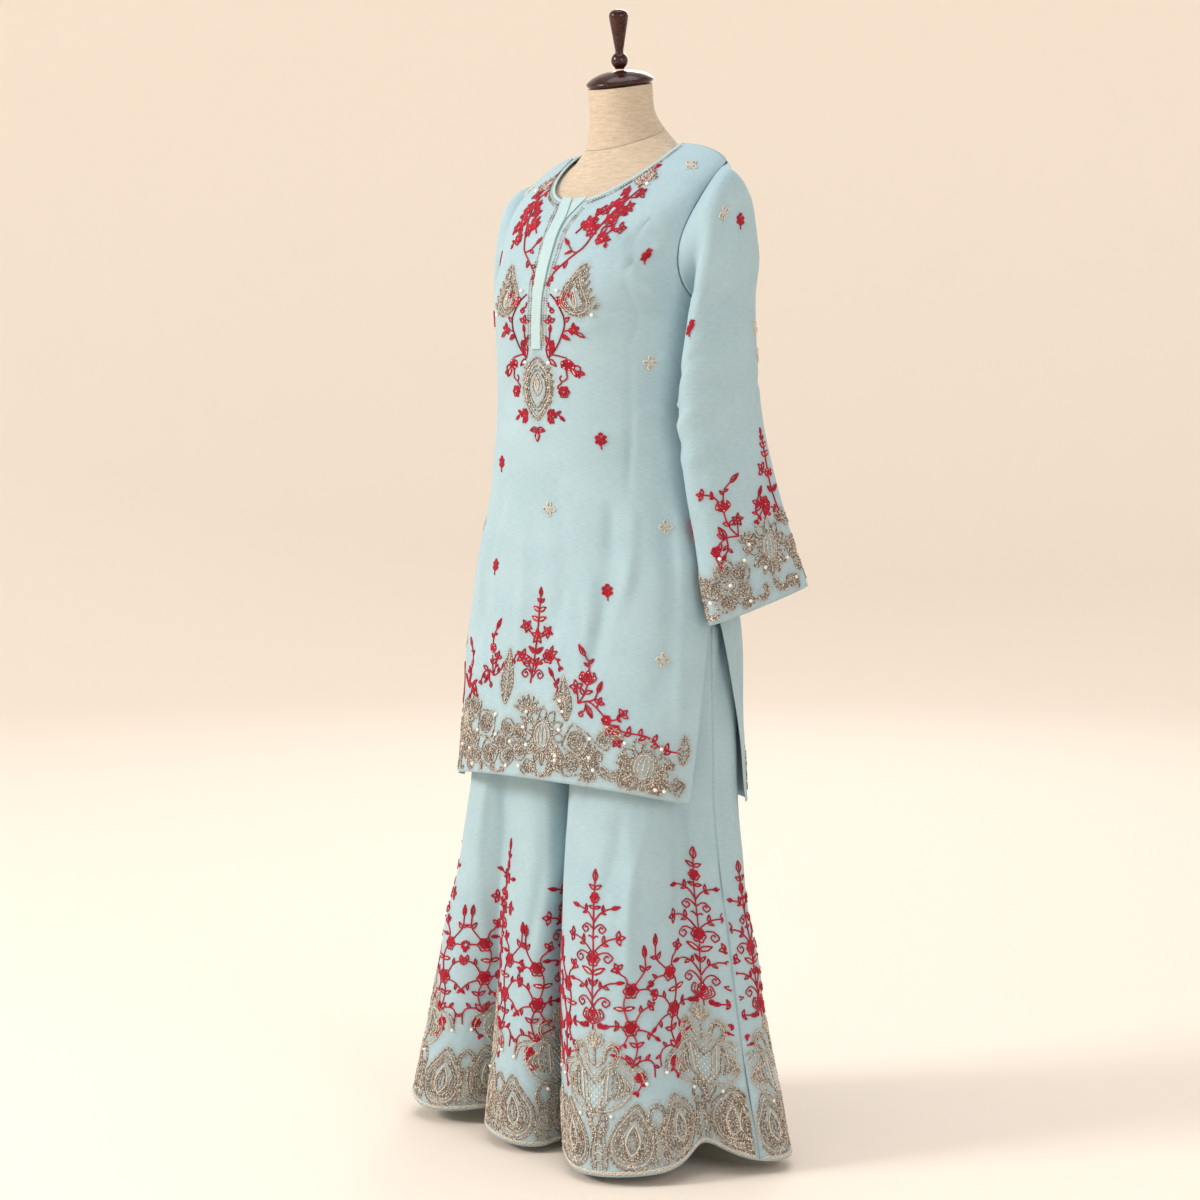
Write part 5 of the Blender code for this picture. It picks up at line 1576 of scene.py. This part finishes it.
def put(panel, s, h, motif, turn=0.0, size=1.0, flip=False, top=None, floor=None):
    closed = panel["closed"]
    run, round_ = ("run", "wrap") if closed else (None, None)
    u0, v0 = anchor(panel, s, h, closed)
    step = 0.004
    for kind, flat in moved(motif, 0, 0, turn, size, flip):
        x, y = flat[:, 0] / 1000, flat[:, 1] / 1000
        u, v = np.full(len(x), u0[0]), np.full(len(x), v0[0])
        middle = np.full(len(x), u0[0])
        for _ in range(7):
            across = (sample(panel["s"], u + step, v, run) - sample(panel["s"], u - step, v, run)) / (2 * step)
            up = (sample(panel["h"], u, v + step, round_) - sample(panel["h"], u, v - step, round_)) / (2 * step)
            away = sample(panel["s"], u, v, run) - sample(panel["s"], middle, v, run) - x
            above = sample(panel["h"], u, v, round_) - sample(panel["h"], u, np.full(len(x), v0[0]), round_) - y
            u = u - np.clip(away / np.maximum(across, 1e-3), -0.2, 0.2)
            v = v - np.clip(above / np.maximum(up, 1e-3), -0.2, 0.2)
            u = u if closed else np.clip(u, -0.5, 1.5)
            v = np.clip(v, -0.5, 1.5)
        height = sample(panel["h"], u, v, round_)
        inside = (v > 0) & (v < 1) & (height > (stitch["edge"] if floor is None else floor))
        inside &= height < sample(panel["h"][-1:].repeat(2, 0), u, v, round_) - stitch["edge"]
        if not closed:
            width = sample(panel["s"], np.ones(len(x)), v) - sample(panel["s"], np.zeros(len(x)), v)
            inside &= (u * width > 0.0035) & ((1 - u) * width > 0.0035)
        if panel.get("keepOut"):
            inside &= ~panel["keepOut"](sample(panel["s"], u, v, run), sample(panel["h"][-1:].repeat(2, 0), u, v, round_) - height)
        thick = stitch["thick"].get(kind)
        lift = stitch["lift"] if thick else 0.6 * stitch["beads"][kind]
        places = sample(panel["points"], u, v, round_) + sample(panel["normals"], u, v, round_) * lift
        if not thick:
            panel["beads"].setdefault(kind, []).extend(places[inside])
            continue
        cuts = np.flatnonzero(~inside)
        for part, keep in zip(np.split(places, cuts), np.split(inside, cuts)):
            part = part[keep]
            if len(part) > 1:
                panel["threads"].setdefault(kind, []).append(part)


def addThreads(name, panel, kinds):
    made = []
    for kind in kinds:
        lines = panel["threads"].get(kind, [])
        if not lines:
            continue
        data = bpy.data.curves.new(name, "CURVE")
        data.dimensions = "3D"
        data.bevel_depth = stitch["thick"][kind]
        data.bevel_resolution = 0
        data.use_fill_caps = True
        for points in lines:
            spline = data.splines.new("POLY")
            spline.points.add(len(points) - 1)
            spline.points.foreach_set("co", np.c_[points, np.ones(len(points))].ravel())
            if kind != "crimson":  # beaded lines swell and narrow
                spline.points.foreach_set("radius", [1.2 if i % 2 else 0.75 for i in range(len(points))])
        thing = bpy.data.objects.new(name, data)
        bpy.context.scene.collection.objects.link(thing)
        mesh = bpy.data.meshes.new_from_object(thing.evaluated_get(bpy.context.evaluated_depsgraph_get()))
        bpy.data.objects.remove(thing)
        bpy.data.curves.remove(data)
        made.append((kind, mesh))
    return made


def joinedPiece(name, meshes, slot):  # several meshes with their own materials as one object
    made = bmesh.new()
    whole = bpy.data.meshes.new(name)
    for i, (material, mesh) in enumerate(meshes):
        whole.materials.append(material)
        before = len(made.faces)
        made.from_mesh(mesh)
        made.faces.ensure_lookup_table()
        for face in made.faces[before:]:
            face.material_index = i
            face.smooth = True
        bpy.data.meshes.remove(mesh)
    made.to_mesh(whole)
    made.free()
    thing = bpy.data.objects.new(name, whole)
    bpy.context.scene.collection.objects.link(thing)
    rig.ride(thing, "root")
    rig.slot(thing, slot)
    return thing


def beadNodes():  # a round bead on every point, made real
    group = bpy.data.node_groups.new("beadsOnPoints", "GeometryNodeTree")
    group.interface.new_socket("Geometry", in_out="INPUT", socket_type="NodeSocketGeometry")
    size = group.interface.new_socket("Radius", in_out="INPUT", socket_type="NodeSocketFloat")
    detail = group.interface.new_socket("Detail", in_out="INPUT", socket_type="NodeSocketInt")
    group.interface.new_socket("Geometry", in_out="OUTPUT", socket_type="NodeSocketGeometry")
    given, out = group.nodes.new("NodeGroupInput"), group.nodes.new("NodeGroupOutput")
    ball = group.nodes.new("GeometryNodeMeshIcoSphere")
    onPoints = group.nodes.new("GeometryNodeInstanceOnPoints")
    real = group.nodes.new("GeometryNodeRealizeInstances")
    smooth = group.nodes.new("GeometryNodeSetShadeSmooth")
    join(group, given.outputs["Radius"], ball.inputs["Radius"])
    join(group, given.outputs["Detail"], ball.inputs["Subdivisions"])
    join(group, given.outputs["Geometry"], onPoints.inputs["Points"])
    join(group, ball.outputs["Mesh"], onPoints.inputs["Instance"])
    join(group, onPoints.outputs["Instances"], real.inputs["Geometry"])
    join(group, real.outputs["Geometry"], smooth.inputs["Geometry"])
    join(group, smooth.outputs["Geometry"], out.inputs["Geometry"])
    return group, size.identifier, detail.identifier


beadGroupNodes = beadNodes()


def beadMesh(points, radius, detail):
    mesh = bpy.data.meshes.new("points")
    mesh.vertices.add(len(points))
    mesh.vertices.foreach_set("co", np.array(points).ravel())
    mesh.update()
    thing = bpy.data.objects.new("points", mesh)
    bpy.context.scene.collection.objects.link(thing)
    group, size, level = beadGroupNodes
    modifier = thing.modifiers.new("beads", "NODES")
    modifier.node_group = group
    modifier[size] = radius
    modifier[level] = detail
    made = bpy.data.meshes.new_from_object(thing.evaluated_get(bpy.context.evaluated_depsgraph_get()))
    bpy.data.objects.remove(thing)
    bpy.data.meshes.remove(mesh)
    return made


def addEmbroidery(name, panel):
    made = []
    threads = dict(addThreads(name, panel, ("crimson", "gold", "pale", "white")))
    if "crimson" in threads:
        made.append(joinedPiece(name + "Crimson", [(crimson, threads["crimson"])], "crimson_thread"))
    gold = [(material, threads[kind]) for kind, material in (("gold", goldWire), ("pale", paleWire), ("white", whiteCord))
            if kind in threads]
    if gold:
        made.append(joinedPiece(name + "Gold", gold, "gold_thread"))
    tints = {"pearl": pearl, "seed": pearl, "grain": paleWire, "brownBead": brownBeads}
    beads = [(tints[kind], beadMesh(points, stitch["beads"][kind], 2 if kind == "pearl" else 1))
             for kind, points in panel["beads"].items() if points]
    if beads:
        made.append(joinedPiece(name + "Beads", beads, "pearl"))
    panel["sewn"] = made
    return made


def addGround(panel, strength, only=None):  # how near each point of the cloth is to gold work
    lines = [p for kind in ("gold", "pale") for p in panel["threads"].get(kind, [])]
    if not lines:
        return
    places = np.vstack(lines)
    tree = KDTree(len(places))
    for i, place in enumerate(places):
        tree.insert(place, i)
    tree.balance()
    mesh = panel["object"].data
    layer = mesh.attributes.new("stitched", "FLOAT", "POINT")
    near = [max(0.0, min(1.0, 1.6 - tree.find(vert.co)[2] / 0.005)) for vert in mesh.vertices]
    layer.data.foreach_set("value", [strength * value for value in near])

def put2(panel, s, h, motif, **how):  # one motif and its mirror image about the panel's middle
    put(panel, s, h, motif, **how)
    how = dict(how, flip=not how.get("flip", False), turn=-how.get("turn", 0.0))
    put(panel, -s, h, motif, **how)


def scatter(panel, places, kind="pearl", floor=0.004):
    for s, h in places:
        put(panel, s, h, dots(kind, (0, 0)), floor=floor)


def goldBorder(panel, flowers):  # s, h, motif, turn, size
    for s, h, motif, turn, size in flowers:
        put(panel, s, h, motif, turn=turn, size=1.16 * size, floor=0.004)


# front: neck, placket frame, paisleys, medallion and scrolls


front["keepOut"] = lambda s, d: (np.abs(s) < 0.0105 + 0.0115 * np.clip(1 - d / 0.04, 0, 1)) & (d < 0.172)
neckTop = frontTop
for side in (1, -1):
    flip = side < 0
    for step, kind in ((0.0045, "gold"), (0.0095, "gold")):  # beaded frame lines down the placket
        places = [(side * (0.0125 + step * 0.35 + 0.0095 * max(1 - d / 0.05, 0) - (0.002 if d > 0.15 else 0)), d)
                  for d in np.arange(0.004, 0.215, 0.0034)]
        for s, d in places:
            put(front, s + side * (step - 0.0045) * 0.5, neckTop - d, dots("grain" if int(d * 1000) % 3 else "brownBead", (0, 0)))
    put(front, side * 0.048, neckTop - 0.078, yokeVine(), flip=flip, size=1.05)
    put(front, side * 0.058, neckTop - 0.132, paisley(44, 76), flip=flip, turn=-6 * side)
    put(front, side * 0.020, neckTop - 0.232, frontScroll(), flip=flip, size=0.80)
    put(front, side * 0.036, neckTop - 0.050, sprig([(0, 0), (14, 10), (30, 18), (48, 22), (66, 22)],
        [(0.15, 1, 11), (0.3, -1, 10), (0.45, 1, 12), (0.6, -1, 10), (0.8, 1, 11)], "star", 10), flip=flip)
    put(front, side * 0.052, neckTop - 0.026, star(12) + moved(floret("crimson", 12), 16, 10, -40), flip=flip)
    put(front, side * 0.090, neckTop - 0.010, rosette(9, centre="seed") + moved(floret("crimson", 11), 16, 4, -60)
        + moved(leaf("crimson", 14, 6), -8, -6, 130), flip=flip)
    put(front, side * 0.158, neckTop + 0.125, paisley(30, 52), flip=flip, turn=-40 * side)
    put(front, side * 0.128, neckTop + 0.070, sprig([(0, 0), (14, 8), (30, 20), (44, 36)],
        [(0.2, 1, 11), (0.35, -1, 10), (0.5, 1, 11), (0.7, -1, 10)], "star", 9), flip=flip, turn=-10 * side)
    put(front, side * 0.188, neckTop + 0.135, sprig([(0, 0), (8, 12), (10, 26)],
        [(0.3, 1, 10), (0.5, -1, 10)], "floret", 9), flip=flip)
put(front, 0.0, neckTop - 0.274, dropMedallion(50, 84))
put(front, 0.0, neckTop - 0.330, pair(0, 13, 7, 100, "crimson") + moved(leaf("crimson", 13, 8, "white"), y=-4, turn=180))
for side in (1, -1):
    put(front, side * 0.020, neckTop - 0.312, pair(0, 12, 6, 50) + floret("crimson", 10), turn=-90 * side)
put(front, 0.0, neckTop - 0.183, line("gold", (-9, 4), (0, -3), (9, 4)) + line("gold", (-9, -2), (0, 5), (9, -2)))
put(front, 0.0, neckTop - 0.200, line("pale", (-9, 14), (-9, 0), (-7, -12), (0, -20), (7, -12), (9, 0), (9, 14)))

# flowers scattered over the kameez and sleeves
for s, h in ((0.096, 0.478), (-0.087, 0.440), (-0.091, 0.293), (0.111, 0.270), (0.159, 0.774), (-0.159, 0.774),
             (-0.165, 0.585)):
    put(front, s, h, diamondSpray())
for s, h in ((0.018, 0.375), (0.164, 0.594), (0.188, 0.372), (0.194, 0.189), (-0.190, 0.360), (-0.195, 0.190),
             (0.233, 0.946), (-0.233, 0.946)):
    put(front, s, h, whiteSpray())

# hem of the front
put(front, -0.003, 0.132, skirtTree())
put(front, -0.083, 0.138, sideTree(0.95))
put(front, -0.150, 0.120, sideTree(0.85), flip=True)
put(front, -0.205, 0.100, sideTree(0.7))
put(front, 0.078, 0.112, trailingVine())
put(front, 0.040, 0.118, sprig([(0, 0), (3, 12), (-6, 26)], [(0.4, 1, 9), (0.6, -1, 9)], "leaf", 9))
frontFlowers = (
    (-0.228, 0.050, petalFlower(26), 10, 1.0), (-0.182, 0.042, coilRose(24), 0, 1.0), (-0.150, 0.078, peony(26), 0, 0.9),
    (-0.128, 0.034, petalFlower(26), 30, 1.0), (-0.090, 0.070, coilRose(21), 20, 1.0), (-0.078, 0.028, coilRose(20), 0, 1.0),
    (-0.052, 0.100, feather(66, 22), -4, 1.0), (-0.036, 0.048, petalFlower(29), 20, 1.0), (-0.008, 0.092, carnation(20), 0, 1.0),
    (0.022, 0.062, peony(32), 4, 1.0), (0.024, 0.018, arcNet(17), 10, 1.0), (0.060, 0.086, feather(52, 18), 8, 1.0),
    (0.078, 0.060, coilRose(21), 0, 1.0), (0.074, 0.028, coilRose(18), 40, 1.0), (0.101, 0.040, petalFlower(16), 0, 1.0),
    (0.134, 0.038, arcNet(21), 60, 1.0), (0.178, 0.040, peony(32), -6, 1.0), (0.214, 0.034, arcNet(15), -80, 1.0),
    (0.232, 0.052, feather(34, 14), 0, 1.0), (0.226, 0.020, coilRose(11), 0, 1.0), (0.154, 0.014, coilRose(10), 0, 1.0),
    (-0.206, 0.074, arcNet(13), 30, 1.0), (-0.122, 0.092, coilRose(15), 0, 1.0), (0.000, 0.014, coilRose(12), 0, 1.0),
    (0.048, 0.030, petalFlower(15), 0, 1.0), (0.100, 0.012, coilRose(11), 0, 1.0), (0.120, 0.066, coilRose(12), 0, 1.0),
    (0.196, 0.012, petalFlower(11), 0, 1.0), (0.146, 0.072, feather(26, 12), 60, 1.0), (-0.164, 0.010, arcNet(10), 0, 1.0),
    (-0.236, 0.014, arcNet(10), 0, 1.0), (-0.232, 0.086, coilRose(11), 0, 1.0), (0.050, 0.112, carnation(11), 10, 1.0),
    (-0.058, 0.012, arcNet(12), 0, 1.0), (-0.104, 0.010, arcNet(10), 90, 1.0), (-0.205, 0.012, coilRose(10), 0, 1.0),
)
goldBorder(front, frontFlowers)
scatter(front, ((-0.205, 0.072), (-0.160, 0.040), (-0.108, 0.060), (-0.066, 0.056), (-0.016, 0.016), (-0.012, 0.070),
                (-0.004, 0.046), (0.048, 0.036), (0.050, 0.072), (0.100, 0.066), (0.108, 0.024), (0.054, 0.098),
                (0.150, 0.068), (0.200, 0.068), (0.208, 0.012), (-0.070, 0.084), (-0.118, 0.012), (-0.040, 0.014)))

# back, plainer but in the same manner
put(back, 0.0, 0.132, skirtTree())
put2(back, 0.080, 0.125, sideTree(0.95), flip=True)
put2(back, 0.150, 0.112, sideTree(0.85))
put(back, 0.0, 0.055, peony(34), floor=0.004)
for s, h, motif, turn in ((0.050, 0.048, petalFlower(27), 10), (0.044, 0.094, feather(52, 18), -8), (0.094, 0.060, coilRose(23), 0),
                          (0.096, 0.020, arcNet(14), 20), (0.138, 0.042, petalFlower(26), 30), (0.140, 0.086, coilRose(15), 0),
                          (0.184, 0.042, peony(28), -6), (0.216, 0.030, arcNet(13), -60)):
    put2(back, s, h, motif, turn=turn, size=1.16, floor=0.004)
for s, h in ((0.025, 0.018), (0.028, 0.082), (0.072, 0.084), (0.118, 0.070), (0.160, 0.070), (0.162, 0.016)):
    scatter(back, ((s, h), (-s, h)))
for s, h in ((0.0, 0.62), (0.09, 0.46), (-0.09, 0.46), (0.0, 0.36), (0.12, 0.28), (-0.12, 0.28), (0.13, 0.66), (-0.13, 0.66)):
    put(back, s, h, diamondSpray() if round(abs(s) * 100) % 2 else whiteSpray())
backTop = float(back["h"][-1][len(back["h"][-1]) // 2])
put2(back, 0.070, backTop - 0.010, sprig([(0, 0), (18, 2), (34, 10), (48, 24)],
     [(0.2, 1, 11), (0.35, -1, 10), (0.5, 1, 11), (0.7, -1, 10)], "star", 9))
put(back, 0.0, backTop - 0.060, dropMedallion(36, 58))
for side in (1, -1):
    put(back, side * 0.024, backTop - 0.045, sprig([(0, 0), (10, 4), (22, 0)], [(0.4, 1, 9), (0.5, -1, 8)], "floret", 9),
        flip=side < 0)

# cuffs
for panel, side in ((sleeveLeft, 1), (sleeveRight, -1)):
    def onCuff(s, h, motif, turn=0.0, panel=panel, side=side):
        put(panel, side * s, h, motif, turn=turn * side, flip=side < 0, floor=0.004)

    onCuff(-0.030, 0.104, sleeveTree())
    onCuff(0.062, 0.098, sleeveVine())
    onCuff(0.012, 0.112, sprig([(0, 0), (-4, 12), (-3, 20), (6, 34)], [(0.3, 1, 8), (0.5, -1, 7)], "leaf", 9))
    onCuff(0.018, 0.112, sprig([(0, 0), (8, 8)], [(0.5, 1, 7)], "floret", 8))
    for offset in (0.0, -0.19):
        onCuff(offset - 0.058, 0.044, petalFlower(36), 12)
        onCuff(offset + 0.016, 0.074, peony(36), -8)
        onCuff(offset + 0.050, 0.016, coilRose(12), 0)
        onCuff(offset - 0.036, 0.012, coilRose(11), 0)
        onCuff(offset - 0.090, 0.018, arcNet(12), -30)
        onCuff(offset + 0.050, 0.078, arcNet(12), 0)
        onCuff(offset - 0.018, 0.088, carnation(17), -20)
        onCuff(offset + 0.026, 0.026, arcNet(16), 10)
        onCuff(offset + 0.078, 0.050, petalFlower(27), 0)
        onCuff(offset + 0.058, 0.100, floret("gold", 18, 5, 80), -20)
        onCuff(offset - 0.012, 0.020, arcNet(12), 60)
        onCuff(offset - 0.098, 0.050, coilRose(17), 0)
        for s, h in ((-0.064, 0.084), (-0.030, 0.070), (-0.088, 0.030), (-0.034, 0.014), (0.044, 0.050), (0.052, 0.020), (0.000, 0.050)):
            onCuff(offset + s, h, dots("pearl", (0, 0)))
    onCuff(-0.160, 0.104, sleeveTree())
    onCuff(-0.110, 0.110, sprig([(0, 0), (2, 16), (-4, 30)], [(0.4, 1, 10), (0.5, -1, 10)], "star", 9))
    for s, h, motif in ((0.004, 0.528, diamondSpray()), (-0.076, 0.407, diamondSpray()), (0.053, 0.369, whiteSpray()),
                        (0.062, 0.330, whiteSpray()), (-0.03, 0.55, whiteSpray()), (-0.11, 0.29, whiteSpray())):
        onCuff(s, h, motif)

# trousers: lotus and tree groups with leaf panels below


def trouserGroup(panel, s):
    put(panel, s, 0.124, lotus(), size=0.98)
    put(panel, s, 0.198, trouserTree())
    put(panel, s, 0.198, trouserVine())
    put(panel, s, 0.198, trouserVine(), flip=True)


for name, panel in trousers.items():
    side = 1 if "Left" in name else -1
    width = panel["s"][0, -1] - panel["s"][0, 0]
    for k in (-1, 0, 1):
        trouserGroup(panel, side * (0.003 + 0.174 * k))
    for k in range(-3, 4):
        s = side * (0.047 + 0.087 * k)
        put(panel, s, 0.006, hemLeaf(), turn=side * (8 if k % 2 else -8), flip=bool(k % 2), floor=0.005)
        put(panel, s + side * 0.0435, 0.005, hemFiller(), size=1.1, floor=0.005)
    for k in range(-30, 31):  # twisted rope along the edge
        s = 0.0092 * k
        if abs(s) < width / 2 - 0.006:
            put(panel, s, 0.0012, line("white", (-4.6, -1.6), (0, 1.8), (4.6, -1.6)) + line("white", (-4.6, 1.6), (0, -1.8), (4.6, 1.6)),
                floor=0.0)


# rows of tiny beads round the neck edge
for panel in (front, back):
    half = float(panel["s"][-1, -1])
    for down in (0.0035, 0.0070, 0.0105):
        for s in np.arange(-half + 0.006, half - 0.005, 0.0042):
            if panel is back or abs(s) > 0.024:
                h = float(np.interp(s, panel["s"][-1], panel["h"][-1])) - down
                put(panel, float(s), h, dots("brownBead" if int(s * 9000) % 2 else "grain", (0, 0)))

for name, panel in (("kameezFront", front), ("kameezBack", back), ("sleeveLeft", sleeveLeft), ("sleeveRight", sleeveRight),
                    *trousers.items()):
    addGround(panel, 0.40 if panel["object"].name.startswith("trouser") else 0.32)
    pieces = addEmbroidery(name, panel)
    print(name, [(piece.name, sum(len(p.vertices) - 2 for p in piece.data.polygons)) for piece in pieces])

# seams that close the armholes

for name, side in (("armholeLeft", 1), ("armholeRight", -1)):
    seam = {"threads": {"crimson": [np.array([
        armholePoint(side, share) * Vector((1, 1, 1)) for share in np.linspace(0, 1, 97)])]}}
    seam["threads"]["crimson"][0][:, 0] *= side
    mesh = addThreads(name, seam, ("crimson",))[0][1]
    joinedPiece(name, [(edging, mesh)], "crepe")

# floor, backdrop and lights

print("room")
room = {"tint": (0.88, 0.80, 0.71), "world": 0.45, "reach": 7.0, "round": 2.2, "height": 7.5}


def addRoom():  # pale floor that curves up into a round wall
    r, bend = room["reach"], room["round"]
    profile = [(0.0, 0.0), (r - bend, 0.0)]
    profile += [(r - bend + bend * math.sin(a), bend - bend * math.cos(a)) for a in np.linspace(0.1, math.pi / 2, 14)]
    profile.append((r, room["height"]))
    made = bmesh.new()
    verts = [made.verts.new((x, 0, z)) for x, z in profile]
    edges = [made.edges.new(pair) for pair in zip(verts, verts[1:])]
    bmesh.ops.spin(made, geom=verts + edges, axis=(0, 0, 1), cent=(0, 0, 0), angle=tau, steps=72, use_merge=True)
    mesh = bpy.data.meshes.new("floor")
    made.to_mesh(mesh)
    made.free()
    mesh.shade_smooth()
    floor = bpy.data.objects.new("floor", mesh)
    bpy.context.scene.collection.objects.link(floor)
    material = bpy.data.materials.new("paleFloor")
    material.use_nodes = True
    shader = material.node_tree.nodes["Principled BSDF"]
    shader.inputs["Base Color"].default_value = (*room["tint"], 1)
    shader.inputs["Roughness"].default_value = 0.9
    mesh.materials.append(material)
    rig.stage(floor)
    bpy.context.scene.view_settings.view_transform = "Standard"
    world = bpy.data.worlds.new("studio")
    bpy.context.scene.world = world
    world.use_nodes = True
    sky = world.node_tree.nodes["Background"]
    sky.inputs["Color"].default_value = (0.98, 1.0, 1.03, 1)
    sky.inputs["Strength"].default_value = room["world"]


def addLight(name, place, aim, size, watts, colour):
    data = bpy.data.lights.new(name, "AREA")
    data.shape = "DISK"
    data.size = size
    data.energy = watts
    data.color = colour
    thing = bpy.data.objects.new(name, data)
    thing.location = place
    thing.rotation_euler = (Vector(aim) - Vector(place)).to_track_quat("-Z", "Y").to_euler()
    bpy.context.scene.collection.objects.link(thing)


addRoom()
addLight("key", (-3.4, -5.0, 3.8), (0, 0, 0.8), 2.0, 290, (1.0, 0.98, 0.94))
addLight("fill", (4.4, -1.4, 2.4), (0, 0, 0.8), 2.4, 44, (0.98, 1.0, 1.03))
addLight("back", (-2.2, 3.8, 3.2), (0, 0, 1.0), 2.0, 50, (1.0, 1.0, 1.0))
addLight("wall", (0.0, 0.0, 6.5), (0, 0, 0.0), 5.0, 110, (0.98, 1.0, 1.03))

# what each sheet was cut to, in metres, before it was sewn and hung

for panel, cutSize, area, rests in (
    (front, (0.62, 1.04), 0.434, ["formTorso"]), (back, (0.56, 1.00), 0.425, ["formTorso"]),
    (sleeveLeft, (0.50, 0.65), 0.183, ["kameezFront", "kameezBack"]),
    (sleeveRight, (0.48, 0.63), 0.177, ["kameezFront", "kameezBack"]),
    (trousers["trouserLeftFront"], (0.54, 1.11), 0.372, ["trouserWaist"]),
    (trousers["trouserLeftBack"], (0.52, 1.11), 0.359, ["trouserWaist"]),
    (trousers["trouserRightFront"], (0.58, 1.11), 0.383, ["trouserWaist"]),
    (trousers["trouserRightBack"], (0.52, 1.11), 0.355, ["trouserWaist"]),
):
    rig.sheet(panel["object"], flat=cutSize, held="hung", area=area, rests_on=rests, with_pieces=panel["sewn"])
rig.sheet(bandUnder, flat=(0.019, 0.176), held="hung", rests_on=["kameezFront"])
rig.sheet(bandOver, flat=(0.019, 0.176), held="hung", rests_on=["kameezFront"])
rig.sheet(binding, flat=(0.64, 0.010), area=0.0040, held="stretched", rests_on=["kameezFront", "kameezBack"])
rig.sheet(waistband, flat=(0.78, 0.032), held="gathered", rests_on=["formTorso"])

shownBox = [list(corner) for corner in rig.bounds()]
with open("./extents.json", "w") as out:
    json.dump({"cad": cadBox, "visual": shownBox}, out)
